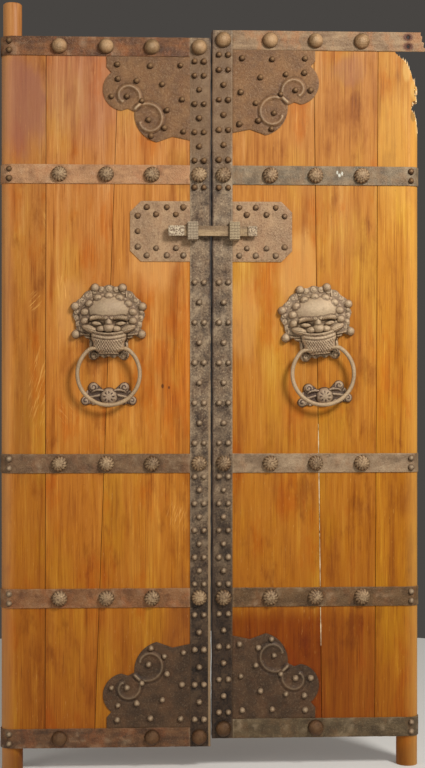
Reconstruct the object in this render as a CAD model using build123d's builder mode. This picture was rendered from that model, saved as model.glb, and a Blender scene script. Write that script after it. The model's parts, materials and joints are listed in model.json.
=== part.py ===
from build123d import *
import math
import os

# A pair of old courtyard gate leaves, shut and bolted, without the frame that they turn in. Millimetres.
# X runs to the viewer's right, Y away from the viewer and Z up. The origin is the foot of the left leaf's
# lower pivot, on the pivot's axis. Sizes marked u run from a leaf's meeting edge towards its outer edge.

# Wooden leaves
leaf_width = 580.0
leaf_height = 1975.0
meeting_gap = 8.0
board_thickness = 48.0
stile_thickness = 60.0  # the outer board, which carries the pivots and is thicker at the back
board_gap = 1.0  # dry joint between two boards
board_joints = {"left": (322.0, 252.0), "right": (306.0, 282.0)}  # u at the bottom and at the top
stile_widths = {"left": (122.0, 125.0), "right": (125.0, 115.0)}  # at the bottom and at the top

# Pivots, turned from the ends of the outer boards
left_foot_length = 62.0
left_foot_radius = 29.0
right_foot_length = 84.0
right_foot_radius = 29.5
upper_pivot_length = 95.0
upper_pivot_radius = 26.0
upper_pivot_chamfer = 3.25

# The lost top corner of the right leaf: its ragged edge from the top down to the sound outer edge, as
# distances in from the leaf's outer edge and down from its top.
broken_edge = (
    (88.0, 0.0), (80.0, 38.0), (64.0, 61.0), (38.0, 83.0), (26.0, 105.0), (16.0, 133.0), (3.0, 158.0),
    (12.0, 168.0), (5.0, 187.0), (20.0, 195.0), (22.0, 217.0), (11.0, 229.0), (7.0, 246.0), (1.0, 274.0),
    (-1.0, 302.0),
)
cut_margin = 40.0  # how far the cut runs past the leaf

# Battens housed in the back
batten_width = 56.0
batten_undercut = 5.0  # how much wider the dovetail is at its foot, on each side
batten_standing = 16.0  # how far a batten stands out of the boards
housing_depth = 14.0
housing_gap = 0.2
tenon_length = 40.0
tenon_thickness = 18.0
tenon_shoulder = 5.0  # step above and below the tenon
tenon_gap = 0.3

# Sheet iron on the front
iron_thickness = 3.0
iron_gap = 0.5  # between two plates that lie edge to edge
strap_height = 54.0
edge_plate_width = 55.0
strap_wrap_angle = 105.0  # how far a strap bends round the rounded outer edge
loose_strap_overhang = 32.0  # the right leaf's top strap, left straight past its lost corner
loose_strap_hole = 8.0  # square, left by its lost nails

# Corner plates. Their outline is drawn from the corner of the leaf: p away from the meeting edge and q away
# from the leaf's top or bottom end. Each arc is a start, a middle and an end.
plate_tip_p = 287.0
plate_tip_q = 286.0
plate_end_q = 84.0
upper_lobe = ((274.0, 99.0), (297.0, 152.0), (246.0, 205.0))
lower_lobe = ((210.0, 208.0), (202.0, 249.0), (148.0, 292.0))
lobe_waist = (228.0, 199.0)
side_waist = (104.0, 276.0)
scroll_centres = ((231.0, 166.0), (171.0, 230.0))
scroll_radius = 30.0
scroll_line = 4.0
scroll_raise = 1.5
scroll_facets = 12

# Nails, with forged six-sided heads
nail_radius = 9.0
nail_height = 5.5
nail_facets = 6
nail_pair_spacing = 26.0
strap_end_nail_inset = 23.0  # in from the leaf's outer edge
corner_nails = (
    (82.0, 78.0), (166.0, 80.0), (258.0, 77.0), (256.0, 117.0), (133.0, 131.0), (204.0, 122.0), (231.0, 166.0),
    (274.0, 166.0), (78.0, 173.0), (190.0, 178.0), (120.0, 203.0), (171.0, 230.0), (74.0, 262.0),
    (127.0, 252.0), (164.0, 275.0),
)
# Nails run down the edge plate in rows, by turns a pair and a single one. These are the least distances from
# row to row between two straps, from the top down.
top_row_pitch = 39.0
knocker_row_pitch = 56.0
knocker_row_count = 9
middle_row_pitch = 37.0
foot_row_pitch = 45.0

# Studs: plain domes on the end straps, embossed ones with a petalled edge on the middle straps
stud_radius = 22.5
stud_height = 13.0
stud_columns = (30.0, 161.0, 288.0, 418.0)  # u
dome_facets = 10
dome_rings = ((1.0, 0.0), (0.78, 0.68), (0.32, 1.0))  # shares of the radius and of the height
petals = 8
petal_notch = 0.86  # inner radius of the petal outline, as a share of the outer one
petal_edge = 4.0  # height of the upright edge under the bevel
petal_bevel_run = 9.0

# Places of the straps, the lock and the knockers, from the corner plates inwards
upper_strap_gap = 63.0  # from the left leaf's top corner plate down to the next strap
lower_strap_gap = 96.0  # from the left leaf's bottom corner plate up to the next strap
lock_below_strap = 47.0
lion_below_lock = 61.0
strap_below_ring = 129.0

# Lock
lock_plate_reach = 222.0  # u of its outer end
lock_plate_height = 168.0
lock_plate_corner = 30.0
lock_nail_rows = ((17.0, (74.0, 120.0, 176.0)), (37.0, (95.0, 150.0)))  # in from the plate's edge, then u
lock_nail_end_inset = 21.0
lock_nail_end_edge = 41.0
bar_height = 28.0
bar_thickness = 9.0
bar_over_nails = 2.5  # clearance between the bar and the nail heads that it passes over
bar_slide_gap = 0.3
bar_head_length = 43.0
bar_head_raise = 5.0
bar_head_gap = 10.0  # from the left keeper to the raised head
bar_neck_gap = 4.0  # from the right keeper to the neck
bar_neck_length = 19.0
bar_neck_depth = 4.0
bar_end_length = 25.0
keeper_u = {"left": 48.0, "right": 60.0}
keeper_width = 30.0
keeper_shoulder = 11.0  # iron above and below the bar
keeper_wall = 8.0  # iron in front of the bar
keeper_chamfer = 2.0

# Lion knockers, drawn from the middle of the ring's hinge axis: x to the right and y up, along the mask
hinge_u = {"left": 281.0, "right": 298.7}
knocker_turn = {"left": 0.0, "right": 6.0}  # degrees that the right one hangs askew
hinge_stand_off = 30.0  # from the boards
ring_radius = 86.0  # centre line
ring_tube_radius = 6.75
ring_facets = 6
hoop_sides = 26
ring_rest_gap = 0.3  # from the striker at rest
ring_pin_radius = 5.0
ring_pin_length = 14.0
ring_pin_clearance = 0.05
mane_half_width, mane_half_height, mane_middle = 103.0, 88.0, 94.0
mane_thickness = 5.0
mane_scallop = 0.96  # reach between two locks, as a share of their own
mane_locks = 16
lowest_lock = -0.8  # how low on the oval a lock may sit, as a share of its half height
mane_lock_radius = 13.0
mane_lock_inset = 17.0  # from the rim to the middle of a lock
mane_lock_shoulder, mane_lock_standing = 8.0, 15.0
muzzle_half_width = 42.0
muzzle_low, muzzle_high = -16.0, 42.0
muzzle_over_hinge = 16.0
muzzle_side_gap = 1.0
muzzle_cut = 10.0  # off its four corners
muzzle_bevel = 8.0
forehead_middle, forehead_half_width, forehead_half_height = 108.0, 58.0, 30.0
forehead_shoulder, forehead_standing = 26.0, 42.0
brow_half = ((0.0, 104.0), (34.0, 106.0), (64.0, 92.0), (66.0, 42.0), (0.0, 42.0))
brow_standing, brow_bevel = 24.0, 5.0
eye_place, eye_half_width, eye_half_height = (33.0, 70.0), 17.0, 9.0
eye_shoulder, eye_standing = 26.0, 34.0
cheek_place, cheek_half_width, cheek_half_height = (50.0, 53.0), 19.0, 11.0
cheek_shoulder, cheek_standing = 28.0, 38.0
nostril_place, nostril_half_width, nostril_half_height = (21.0, 52.0), 14.0, 10.0
nostril_shoulder, nostril_standing = 34.0, 46.0
nose_half = ((9.0, 84.0), (18.0, 44.0), (9.0, 38.0))
nose_standing, nose_bevel = 52.0, 4.0
crown_share = 0.5  # size of a mound's flat crown, as a share of its foot
beard_half = ((58.0, 4.0), (60.0, -16.0), (44.0, -30.0), (24.0, -24.0), (0.0, -28.0))
beard_thickness, beard_bevel = 12.0, 3.0
oval_facets = 12
curl_facets = 6

# Striker plates, drawn from the ring's centre
striker_drop = 62.0  # of its boss
striker_thickness = 4.0
striker_boss_radius = 23.0
striker_flange = 6.0  # plate round the boss
striker_wing = ((0.0, 8.0), (40.0, 32.0), (52.0, 20.0), (72.0, -4.0), (56.0, -20.0), (0.0, -16.0))
striker_lobes = (((42.0, 27.0), 12.0), ((62.0, -9.0), 14.0))  # from the boss: place, then radius

# Places that follow from the sizes above
wood_front = -stile_thickness / 2
iron_front = wood_front - iron_thickness
board_back = wood_front + board_thickness
tenon_height = batten_width - 2 * tenon_shoulder
plate_reach_q = lower_lobe[-1][1]

elbow_x = muzzle_half_width + muzzle_side_gap + ring_tube_radius
hinge_above_ring = math.sqrt(ring_radius**2 - elbow_x**2)
left_top = left_foot_length + leaf_height
strap_2 = left_top - plate_reach_q - upper_strap_gap - strap_height / 2
lock_height = strap_2 - strap_height / 2 - lock_below_strap - lock_plate_height / 2
lion_top = lock_height - lock_plate_height / 2 - lion_below_lock
hinge_height = lion_top - mane_middle - mane_half_height
ring_foot = hinge_height - hinge_above_ring - ring_radius - ring_tube_radius
strap_3 = ring_foot - strap_below_ring - strap_height / 2
strap_4 = left_foot_length + plate_reach_q + lower_strap_gap + strap_height / 2

bar_stand_off = nail_height + bar_over_nails
bar_back = iron_front - bar_stand_off
bar_front = bar_back - bar_thickness
keeper_height = bar_height + 2 * keeper_shoulder
keeper_standing = bar_stand_off + bar_thickness + keeper_wall

front_plane = Plane.XZ.offset(-wood_front)  # sketches in X and Z, facing the viewer
iron_plane = Plane.XZ.offset(-iron_front)


class Leaf:
    """Where one leaf stands. Its board joints are held as u at its bottom and at its top."""

    def __init__(self, name, meeting_x, outward, bottom):
        self.name = name
        self.meeting_x = meeting_x
        self.outward = outward
        self.bottom = bottom
        self.top = bottom + leaf_height
        self.board_joint = board_joints[name]
        self.stile_joint = tuple(leaf_width - width for width in stile_widths[name])
        self.axis_u = leaf_width - stile_thickness / 2
        self.axis_x = self.x(self.axis_u)
        end_strap = strap_height / 2
        self.strap_heights = (self.top - end_strap, strap_2, strap_3, strap_4, bottom + end_strap)

    def x(self, u):
        return self.meeting_x + self.outward * u

    def stile_u(self, height):
        """Where the joint beside the stile lies at one height."""
        low, high = self.stile_joint
        return low + (high - low) * (height - self.bottom) / leaf_height


left_meeting_x = leaf_width - stile_thickness / 2
meeting_middle = left_meeting_x + meeting_gap / 2
left = Leaf("left", left_meeting_x, -1, left_foot_length)
right = Leaf("right", left_meeting_x + meeting_gap, 1, right_foot_length)


# Shared shapes

def save(piece, name):
    piece.part.label = name
    export_step(piece.part, f"parts/{name}.step")


def across(x_a, x_b):
    """A plane square to X at the smaller of two X positions, and the distance between them."""
    return Plane.YZ.offset(min(x_a, x_b)), abs(x_b - x_a)


def outline(plane, points):
    """A flat shape on the plane, from its corner points."""
    with BuildSketch(plane) as shape:
        with BuildLine():
            Polyline(*points, close=True)
        make_face()
    return shape.sketch


def oval(x, y, half_width, half_height, facets):
    """Corner points of a faceted oval."""
    points = []
    for step in range(facets):
        turn = 2 * math.pi * (step + 0.5) / facets
        points.append((x + half_width * math.cos(turn), y + half_height * math.sin(turn)))
    return points


def shifted(joint, distance):
    return (joint[0] + distance, joint[1] + distance)


# Wood

def board_outline(leaf, inner_joint, outer_joint):
    """The front outline of a board that lies between two joint lines."""
    corners = (
        (leaf.x(inner_joint[0]), leaf.bottom),
        (leaf.x(inner_joint[1]), leaf.top),
        (leaf.x(outer_joint[1]), leaf.top),
        (leaf.x(outer_joint[0]), leaf.bottom),
    )
    return outline(front_plane, corners)


def batten_section(plane, height, gap):
    """The dovetail section of a batten, or of its housing when gap is above 0."""
    foot = board_back - housing_depth - gap
    half_foot = batten_width / 2 + batten_undercut + gap
    half_neck = batten_width / 2 + gap
    corners = (
        (foot, height - half_foot),
        (foot, height + half_foot),
        (board_back, height + half_neck),
        (board_back + batten_standing, height + half_neck),
        (board_back + batten_standing, height - half_neck),
        (board_back, height - half_neck),
    )
    return outline(plane, corners)


def housings(leaf):
    """What the batten housings take out of a leaf's boards."""
    plane, length = across(leaf.x(0), leaf.x(leaf_width))
    with BuildPart() as bars:
        for height in leaf.strap_heights:
            extrude(batten_section(plane, height, housing_gap), amount=length)
    return bars.part


def tenon_section(plane, height, gap):
    """The section of a tenon, or of its mortise when gap is above 0, in line with the batten's foot."""
    with BuildSketch(plane) as section:
        with Locations((board_back - housing_depth + tenon_thickness / 2, height)):
            Rectangle(tenon_thickness + 2 * gap, tenon_height + 2 * gap)
    return section.sketch


def lost_corner(leaf):
    """What is missing from the right leaf's top corner."""
    edge = [(leaf.x(leaf_width - inset), leaf.top - drop) for inset, drop in broken_edge]
    far_x = leaf.x(leaf_width + cut_margin)
    above = leaf.top + cut_margin
    corners = edge + [(far_x, edge[-1][1]), (far_x, above), (edge[0][0], above)]
    with BuildPart() as lost:
        extrude(outline(front_plane.offset(cut_margin), corners), amount=-(stile_thickness + 2 * cut_margin))
    return lost.part


def make_boards(leaf):
    cut = housings(leaf)
    meeting_edge = (iron_thickness, iron_thickness)
    inner_end = shifted(leaf.board_joint, -board_gap / 2)
    with BuildPart() as inner_board:
        extrude(board_outline(leaf, meeting_edge, inner_end), amount=-board_thickness)
        add(cut, mode=Mode.SUBTRACT)
    save(inner_board, f"{leaf.name}_inner_board")

    middle_start = shifted(leaf.board_joint, board_gap / 2)
    middle_end = shifted(leaf.stile_joint, -board_gap / 2)
    with BuildPart() as middle_board:
        extrude(board_outline(leaf, middle_start, middle_end), amount=-board_thickness)
        add(cut, mode=Mode.SUBTRACT)
    save(middle_board, f"{leaf.name}_middle_board")


def make_stile(leaf):
    """The outer board: a flat plank with a rounded outer edge, and pivots in line with that round."""
    foot_radius = left_foot_radius if leaf is left else right_foot_radius
    start = shifted(leaf.stile_joint, board_gap / 2)
    with BuildPart() as stile:
        extrude(board_outline(leaf, start, (leaf.axis_u, leaf.axis_u)), amount=-stile_thickness)
        with BuildSketch(Plane.XY.offset(leaf.bottom)):
            with Locations((leaf.axis_x, 0)):
                Circle(stile_thickness / 2)
        extrude(amount=leaf_height)
        for height in leaf.strap_heights:
            joint = leaf.stile_u(height)
            plane, length = across(leaf.x(joint - board_gap), leaf.x(joint + tenon_length + tenon_gap))
            extrude(tenon_section(plane, height, tenon_gap), amount=length, mode=Mode.SUBTRACT)
        with BuildSketch(Plane.XY):
            with Locations((leaf.axis_x, 0)):
                Circle(foot_radius)
        extrude(amount=leaf.bottom)
        if leaf is left:
            with BuildSketch(Plane.XY.offset(leaf.top)):
                with Locations((leaf.axis_x, 0)):
                    Circle(upper_pivot_radius)
            extrude(amount=upper_pivot_length)
            chamfer(stile.edges().group_by(Axis.Z)[-1], upper_pivot_chamfer)
        else:
            add(lost_corner(leaf), mode=Mode.SUBTRACT)
    save(stile, f"{leaf.name}_pivot_stile")


def make_battens(leaf):
    for number, height in enumerate(leaf.strap_heights, start=1):
        shoulder_u = leaf.stile_u(height) - board_gap / 2
        with BuildPart() as batten:
            plane, length = across(leaf.x(iron_thickness), leaf.x(shoulder_u))
            extrude(batten_section(plane, height, 0), amount=length)
            plane, length = across(leaf.x(shoulder_u), leaf.x(leaf.stile_u(height) + tenon_length))
            extrude(tenon_section(plane, height, 0), amount=length)
        save(batten, f"{leaf.name}_batten_{number}")


# Sheet iron

def make_edge_plate(leaf):
    """An angle of sheet iron over the front of the meeting edge and round its side."""
    outer_x, front_end_x = leaf.x(0), leaf.x(edge_plate_width)
    inner_x = leaf.x(iron_thickness)
    section = (
        (outer_x, iron_front), (front_end_x, iron_front), (front_end_x, wood_front),
        (inner_x, wood_front), (inner_x, board_back), (outer_x, board_back),
    )
    with BuildPart() as edge_plate:
        extrude(outline(Plane.XY.offset(leaf.bottom), section), amount=leaf_height)
    save(edge_plate, f"{leaf.name}_edge_plate")


def strap_end_nail_places(leaf, height):
    """The pair of nails at the outer end of one strap."""
    x = leaf.x(leaf_width - strap_end_nail_inset)
    return [(x, height + nail_pair_spacing / 2), (x, height - nail_pair_spacing / 2)]


def round_the_edge(leaf, radius, degrees):
    """A point at some turn round the rounded outer edge, from the front."""
    turn = math.radians(degrees)
    return (leaf.axis_x + leaf.outward * radius * math.sin(turn), -radius * math.cos(turn))


def make_bent_strap(leaf, number, height):
    """A strap from the edge plate to the outer edge, and bent round it."""
    start_x = leaf.x(edge_plate_width + iron_gap)
    inner, outer = (
        [round_the_edge(leaf, radius, share * strap_wrap_angle) for share in (0, 0.5, 1)]
        for radius in (stile_thickness / 2, stile_thickness / 2 + iron_thickness)
    )
    with BuildPart() as strap:
        with BuildSketch(Plane.XY.offset(height - strap_height / 2)):
            with BuildLine():
                Polyline(inner[0], (start_x, wood_front), (start_x, iron_front), outer[0])
                ThreePointArc(*outer)
                Line(outer[-1], inner[-1])
                ThreePointArc(*reversed(inner))
            make_face()
        extrude(amount=strap_height)
    save(strap, f"{leaf.name}_strap_{number}")


def make_loose_strap(leaf, number, height):
    """A strap that has lost its nails and stands out straight past the broken corner."""
    start_x = leaf.x(edge_plate_width + iron_gap)
    end_x = leaf.x(leaf_width + loose_strap_overhang)
    with BuildPart() as strap:
        with BuildSketch(iron_plane):
            with Locations(((start_x + end_x) / 2, height)):
                Rectangle(abs(end_x - start_x), strap_height)
            with Locations(*strap_end_nail_places(leaf, height)):
                Rectangle(loose_strap_hole, loose_strap_hole, mode=Mode.SUBTRACT)
        extrude(amount=-iron_thickness)
    save(strap, f"{leaf.name}_strap_{number}")


def corner_point(leaf, place, point):
    """X and Z of a point drawn from the leaf's top or bottom corner."""
    p, q = point
    return (leaf.x(p), leaf.top - q if place == "top" else leaf.bottom + q)


def make_corner_plate(leaf, place):
    """A plate with two cut lobes and a raised scroll on each."""
    corner_start = edge_plate_width + iron_gap
    corner_side = strap_height + iron_gap
    straight = (
        side_waist, (corner_start, plate_tip_q), (corner_start, corner_side),
        (plate_tip_p, corner_side), (plate_tip_p, plate_end_q), upper_lobe[0],
    )
    with BuildPart() as corner_plate:
        with BuildSketch(front_plane):
            with BuildLine():
                Polyline(*[corner_point(leaf, place, point) for point in straight])
                ThreePointArc(*[corner_point(leaf, place, point) for point in upper_lobe])
                Polyline(*[corner_point(leaf, place, point) for point in (upper_lobe[-1], lobe_waist, lower_lobe[0])])
                ThreePointArc(*[corner_point(leaf, place, point) for point in lower_lobe])
                Line(*[corner_point(leaf, place, point) for point in (lower_lobe[-1], side_waist)])
            make_face()
        extrude(amount=iron_thickness)
        with BuildSketch(iron_plane):
            with Locations(*[corner_point(leaf, place, centre) for centre in scroll_centres]):
                RegularPolygon(scroll_radius, scroll_facets)
                RegularPolygon(scroll_radius - scroll_line, scroll_facets, mode=Mode.SUBTRACT)
        extrude(amount=scroll_raise)
    save(corner_plate, f"{leaf.name}_{place}_corner_plate")


# Nails and studs

def on_iron(places):
    return [(x, iron_front, z) for x, z in places]


def faceted_dome(radius, height, facets, rings):
    """Corner points of a dome that faces the viewer, ring by ring from its foot."""
    points = []
    for reach, rise in rings:
        points += [(x, -rise * height, z) for x, z in oval(0, 0, reach * radius, reach * radius, facets)]
    return points


def make_nails(places, name):
    """Forged nail heads, each a low six-sided point."""
    head = faceted_dome(nail_radius, nail_height, nail_facets, ((1, 0),)) + [(0, -nail_height, 0)]
    with BuildPart() as nails:
        with Locations(*on_iron(places)):
            ConvexPolyhedron(head)
    save(nails, name)


def edge_row(leaf, paired, height):
    """One pair or single nail on the edge plate, in line with its studs."""
    half = nail_pair_spacing / 2
    offsets = (-half, half) if paired else (0.0,)
    return [(leaf.x(stud_columns[0] + offset), height) for offset in offsets]


def edge_bay(leaf, start, end, least_pitch, first_pairs=1):
    """Evenly spread rows between two straps, as many as fit, with pairs first and then by turns."""
    count = int((start - end) / least_pitch) - 1
    pitch = (start - end) / (count + 1)
    places = []
    for number in range(count):
        paired = number < first_pairs or (number - first_pairs) % 2 == 1
        places += edge_row(leaf, paired, start - (number + 1) * pitch)
    return places


def edge_nail_places(leaf):
    """All nails on one edge plate."""
    high, upper, middle, low, foot = leaf.strap_heights
    places = edge_bay(leaf, high, upper, top_row_pitch, first_pairs=2)
    places += edge_bay(leaf, middle, low, middle_row_pitch)
    places += edge_bay(leaf, low, foot, foot_row_pitch)
    places += edge_row(leaf, True, upper - stud_radius - nail_pair_spacing / 2)
    for number in range(knocker_row_count):
        places += edge_row(leaf, number % 2 == 0, middle + (number + 1) * knocker_row_pitch)
    return places


def lock_nail_places(leaf):
    places = []
    half_height = lock_plate_height / 2
    for inset, row in lock_nail_rows:
        for u in row:
            places += [(leaf.x(u), lock_height + side * (half_height - inset)) for side in (1, -1)]
    end_x = leaf.x(lock_plate_reach - lock_nail_end_inset)
    places += [(end_x, lock_height + side * (half_height - lock_nail_end_edge)) for side in (1, -1)]
    if leaf is left:
        places.append((end_x, lock_height))
    return places


def stud_places(leaf, number):
    """Where the studs of one strap sit. The bottom straps have lost some of theirs."""
    columns = stud_columns
    if number == 5:
        columns = stud_columns[:2] + stud_columns[3:] if leaf is left else stud_columns[0:3:2]
    return [(leaf.x(u), leaf.strap_heights[number - 1]) for u in columns]


def make_plain_studs(leaf):
    dome = faceted_dome(stud_radius, stud_height, dome_facets, dome_rings)
    with BuildPart() as studs:
        with Locations(*on_iron(stud_places(leaf, 1) + stud_places(leaf, 5))):
            ConvexPolyhedron(dome)
    save(studs, f"{leaf.name}_plain_studs")


def petal_outline():
    points = []
    for step in range(2 * petals):
        reach = stud_radius * (1.0 if step % 2 == 0 else petal_notch)
        turn = math.pi * step / petals
        points.append((reach * math.cos(turn), reach * math.sin(turn)))
    return outline(Plane.XY, points)


def make_embossed_studs(leaf):
    """Petalled studs, bevelled from their upright edge to a flat crown."""
    petal_shape = petal_outline()
    with BuildPart() as studs:
        with BuildSketch(iron_plane):
            with Locations(*stud_places(leaf, 2), *stud_places(leaf, 3), *stud_places(leaf, 4)):
                add(petal_shape)
        extrude(amount=stud_height)
        for crown in studs.faces().group_by(Axis.Y)[0]:
            chamfer(crown.edges(), petal_bevel_run, stud_height - petal_edge, reference=crown)
    save(studs, f"{leaf.name}_embossed_studs")


# Lock: two plates, a keeper on each and the bar that runs through both

def make_lock_plate(leaf):
    near_x = leaf.x(edge_plate_width + iron_gap)
    far_x = leaf.x(lock_plate_reach)
    corner_x = leaf.x(lock_plate_reach - lock_plate_corner)
    top, foot = lock_height + lock_plate_height / 2, lock_height - lock_plate_height / 2
    corners = (
        (near_x, foot), (corner_x, foot), (far_x, foot + lock_plate_corner),
        (far_x, top - lock_plate_corner), (corner_x, top), (near_x, top),
    )
    with BuildPart() as lock_plate:
        extrude(outline(front_plane, corners), amount=iron_thickness)
    save(lock_plate, f"{leaf.name}_lock_plate")


def make_keeper(leaf):
    middle_u = keeper_u[leaf.name]
    with BuildPart() as keeper:
        with BuildSketch(iron_plane):
            with Locations((leaf.x(middle_u), lock_height)):
                Rectangle(keeper_width, keeper_height)
        extrude(amount=keeper_standing)
        plane, length = across(leaf.x(middle_u - keeper_width), leaf.x(middle_u + keeper_width))
        with BuildSketch(plane):
            with Locations(((bar_back + bar_front) / 2, lock_height)):
                Rectangle(bar_thickness + 2 * bar_slide_gap, bar_height + 2 * bar_slide_gap)
        extrude(amount=length, mode=Mode.SUBTRACT)
        chamfer(keeper.faces().sort_by(Axis.Y)[0].edges(), keeper_chamfer)
    save(keeper, f"{leaf.name}_keeper")


def make_bolt_bar():
    """A flat bar with a raised head at its left end, and a neck and an end block past the right keeper."""
    head_right = left.x(keeper_u["left"] + keeper_width / 2) - bar_head_gap
    bar_left = head_right - bar_head_length
    neck_left = right.x(keeper_u["right"] + keeper_width / 2) + bar_neck_gap
    neck_right = neck_left + bar_neck_length
    bar_right = neck_right + bar_end_length
    raised_front = bar_front - bar_head_raise
    neck_front = bar_front + bar_neck_depth
    top_view = (
        (bar_left, bar_back), (bar_left, raised_front), (head_right, raised_front), (head_right, bar_front),
        (neck_left, bar_front), (neck_left, neck_front), (neck_right, neck_front), (neck_right, bar_front),
        (bar_right, bar_front), (bar_right, bar_back),
    )
    with BuildPart() as bolt_bar:
        extrude(outline(Plane.XY.offset(lock_height - bar_height / 2), top_view), amount=bar_height)
    save(bolt_bar, "bolt_bar")


# Lion knockers. Each mask is one casting, drawn on its own plane, which for the right one is turned askew.

def knocker_face(leaf):
    turn = math.radians(knocker_turn[leaf.name])
    middle = (leaf.x(hinge_u[leaf.name]), wood_front, hinge_height)
    return Plane(origin=middle, x_dir=(math.cos(turn), 0, math.sin(turn)), z_dir=(0, -1, 0))


def side_plane(face, x, side):
    """A plane square to the hinge axis at x, facing the middle of the knocker."""
    origin = face.from_local_coords((side * x, 0, hinge_stand_off))
    return Plane(origin=origin, z_dir=face.x_dir * -side)


def on_mane(step, inset):
    """A point on the mane's oval at one of its locks, some way in from the rim."""
    turn = 2 * math.pi * step / mane_locks + math.pi / 2
    x = (mane_half_width - inset) * math.cos(turn)
    return (x, mane_middle + (mane_half_height - inset) * math.sin(turn))


def mane_outline():
    """The mask's rim, scalloped between the locks of the mane."""
    points = []
    for step in range(mane_locks):
        points.append(on_mane(step, 0))
        x, y = on_mane(step + 0.5, 0)
        points.append((mane_scallop * x, mane_middle + mane_scallop * (y - mane_middle)))
    return points


def raised(face, points, standing, bevel):
    """A form that stands out from the plane, with its front edges bevelled."""
    with BuildPart() as form:
        extrude(outline(face, points), amount=standing)
        chamfer(form.faces().sort_by(Axis.Y)[0].edges(), bevel)
    return form.part


def mound(face, place, half_width, half_height, shoulder, standing, facets=curl_facets):
    """A faceted dome on an oval foot, upright as far as its shoulder."""
    x, y = place
    rings = ((1.0, 0.0), (1.0, shoulder), (crown_share, standing))
    points = []
    for share, height in rings:
        ring = oval(x, y, share * half_width, share * half_height, facets)
        points += [face.from_local_coords((*point, height)) for point in ring]
    with BuildPart() as form:
        ConvexPolyhedron(points)
    return form.part


def mirrored(points):
    """Points down the right side of a symmetrical outline, closed up the left side."""
    return list(points) + [(-x, y) for x, y in reversed(points) if x > 0]


def muzzle_outline():
    half_width, low, high = muzzle_half_width, muzzle_low, muzzle_high
    return mirrored((
        (half_width - muzzle_cut, high), (half_width, high - muzzle_cut),
        (half_width, low + muzzle_cut), (half_width - muzzle_cut, low),
    ))


def mask_forms(face):
    """What stands out of the mask's rim, from the beard and the mane's curls up to the nose."""
    forms = [raised(face, mirrored(beard_half), beard_thickness, beard_bevel)]
    for step in range(mane_locks):
        place = on_mane(step, mane_lock_inset)
        if place[1] - mane_middle > lowest_lock * (mane_half_height - mane_lock_inset):
            size = (mane_lock_radius, mane_lock_radius)
            forms.append(mound(face, place, *size, mane_lock_shoulder, mane_lock_standing))
    forms.append(raised(face, mirrored(brow_half), brow_standing, brow_bevel))
    forehead_size = (forehead_half_width, forehead_half_height)
    forehead_rise = (forehead_shoulder, forehead_standing)
    forms.append(mound(face, (0.0, forehead_middle), *forehead_size, *forehead_rise, oval_facets))
    for side in (-1, 1):
        eye = (side * eye_place[0], eye_place[1])
        forms.append(mound(face, eye, eye_half_width, eye_half_height, eye_shoulder, eye_standing))
        cheek = (side * cheek_place[0], cheek_place[1])
        forms.append(mound(face, cheek, cheek_half_width, cheek_half_height, cheek_shoulder, cheek_standing))
        nostril = (side * nostril_place[0], nostril_place[1])
        size = (nostril_half_width, nostril_half_height)
        forms.append(mound(face, nostril, *size, nostril_shoulder, nostril_standing))
    forms.append(raised(face, muzzle_outline(), hinge_stand_off + muzzle_over_hinge, muzzle_bevel))
    forms.append(raised(face, mirrored(nose_half), nose_standing, nose_bevel))
    return forms


def make_mask(leaf):
    face = knocker_face(leaf)
    forms = mask_forms(face)
    with BuildPart() as mask:
        extrude(outline(face, mane_outline()), amount=mane_thickness)
        add(forms)
        for side in (-1, 1):
            with BuildSketch(side_plane(face, muzzle_half_width + muzzle_side_gap, side)):
                Circle(ring_pin_radius + ring_pin_clearance)
            extrude(amount=ring_pin_length + 2 * muzzle_side_gap, mode=Mode.SUBTRACT)
    save(mask, f"{leaf.name}_lion_mask")


def make_ring(leaf):
    """A hoop whose ends turn in at two knuckles, with a pin from each into the side of the muzzle."""
    face = knocker_face(leaf)
    start_turn = math.atan2(hinge_above_ring, elbow_x)
    whole_turn = math.pi + 2 * start_turn
    stations = []
    for step in range(hoop_sides + 1):
        turn = start_turn - whole_turn * step / hoop_sides
        stations.append((ring_radius * math.cos(turn), ring_radius * math.sin(turn) - hinge_above_ring))
    with BuildPart() as ring:
        with BuildLine(face.offset(hinge_stand_off)) as hoop:
            Polyline(*stations)
        with BuildSketch(Plane(origin=hoop.line @ 0, z_dir=hoop.line % 0)):
            RegularPolygon(ring_tube_radius, ring_facets)
        sweep(path=hoop.line, transition=Transition.RIGHT)
        for side in (-1, 1):
            knuckle_plane = side_plane(face, elbow_x + ring_tube_radius, side)
            with BuildSketch(knuckle_plane):
                RegularPolygon(ring_tube_radius, ring_facets)
            extrude(amount=2 * ring_tube_radius)
            with BuildSketch(knuckle_plane):
                Circle(ring_pin_radius)
            extrude(amount=2 * ring_tube_radius + muzzle_side_gap + ring_pin_length)
    save(ring, f"{leaf.name}_knocker_ring")


def make_striker(leaf):
    """The plate that the ring knocks on: a boss between two winged lobes."""
    face = knocker_face(leaf)
    boss_y = -hinge_above_ring - striker_drop
    boss_standing = hinge_stand_off - ring_tube_radius - ring_rest_gap
    with BuildPart() as striker:
        with BuildSketch(face):
            with Locations((0, boss_y)):
                RegularPolygon(striker_boss_radius + striker_flange, oval_facets)
            for side in (-1, 1):
                with BuildLine():
                    Polyline(*[(side * x, boss_y + y) for x, y in striker_wing], close=True)
                make_face()
                for (x, y), radius in striker_lobes:
                    with Locations((side * x, boss_y + y)):
                        RegularPolygon(radius, oval_facets)
        extrude(amount=striker_thickness)
        with BuildSketch(face.offset(striker_thickness)):
            with Locations((0, boss_y)):
                RegularPolygon(striker_boss_radius, oval_facets)
        extrude(amount=boss_standing - striker_thickness)
    save(striker, f"{leaf.name}_striker_plate")


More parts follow.
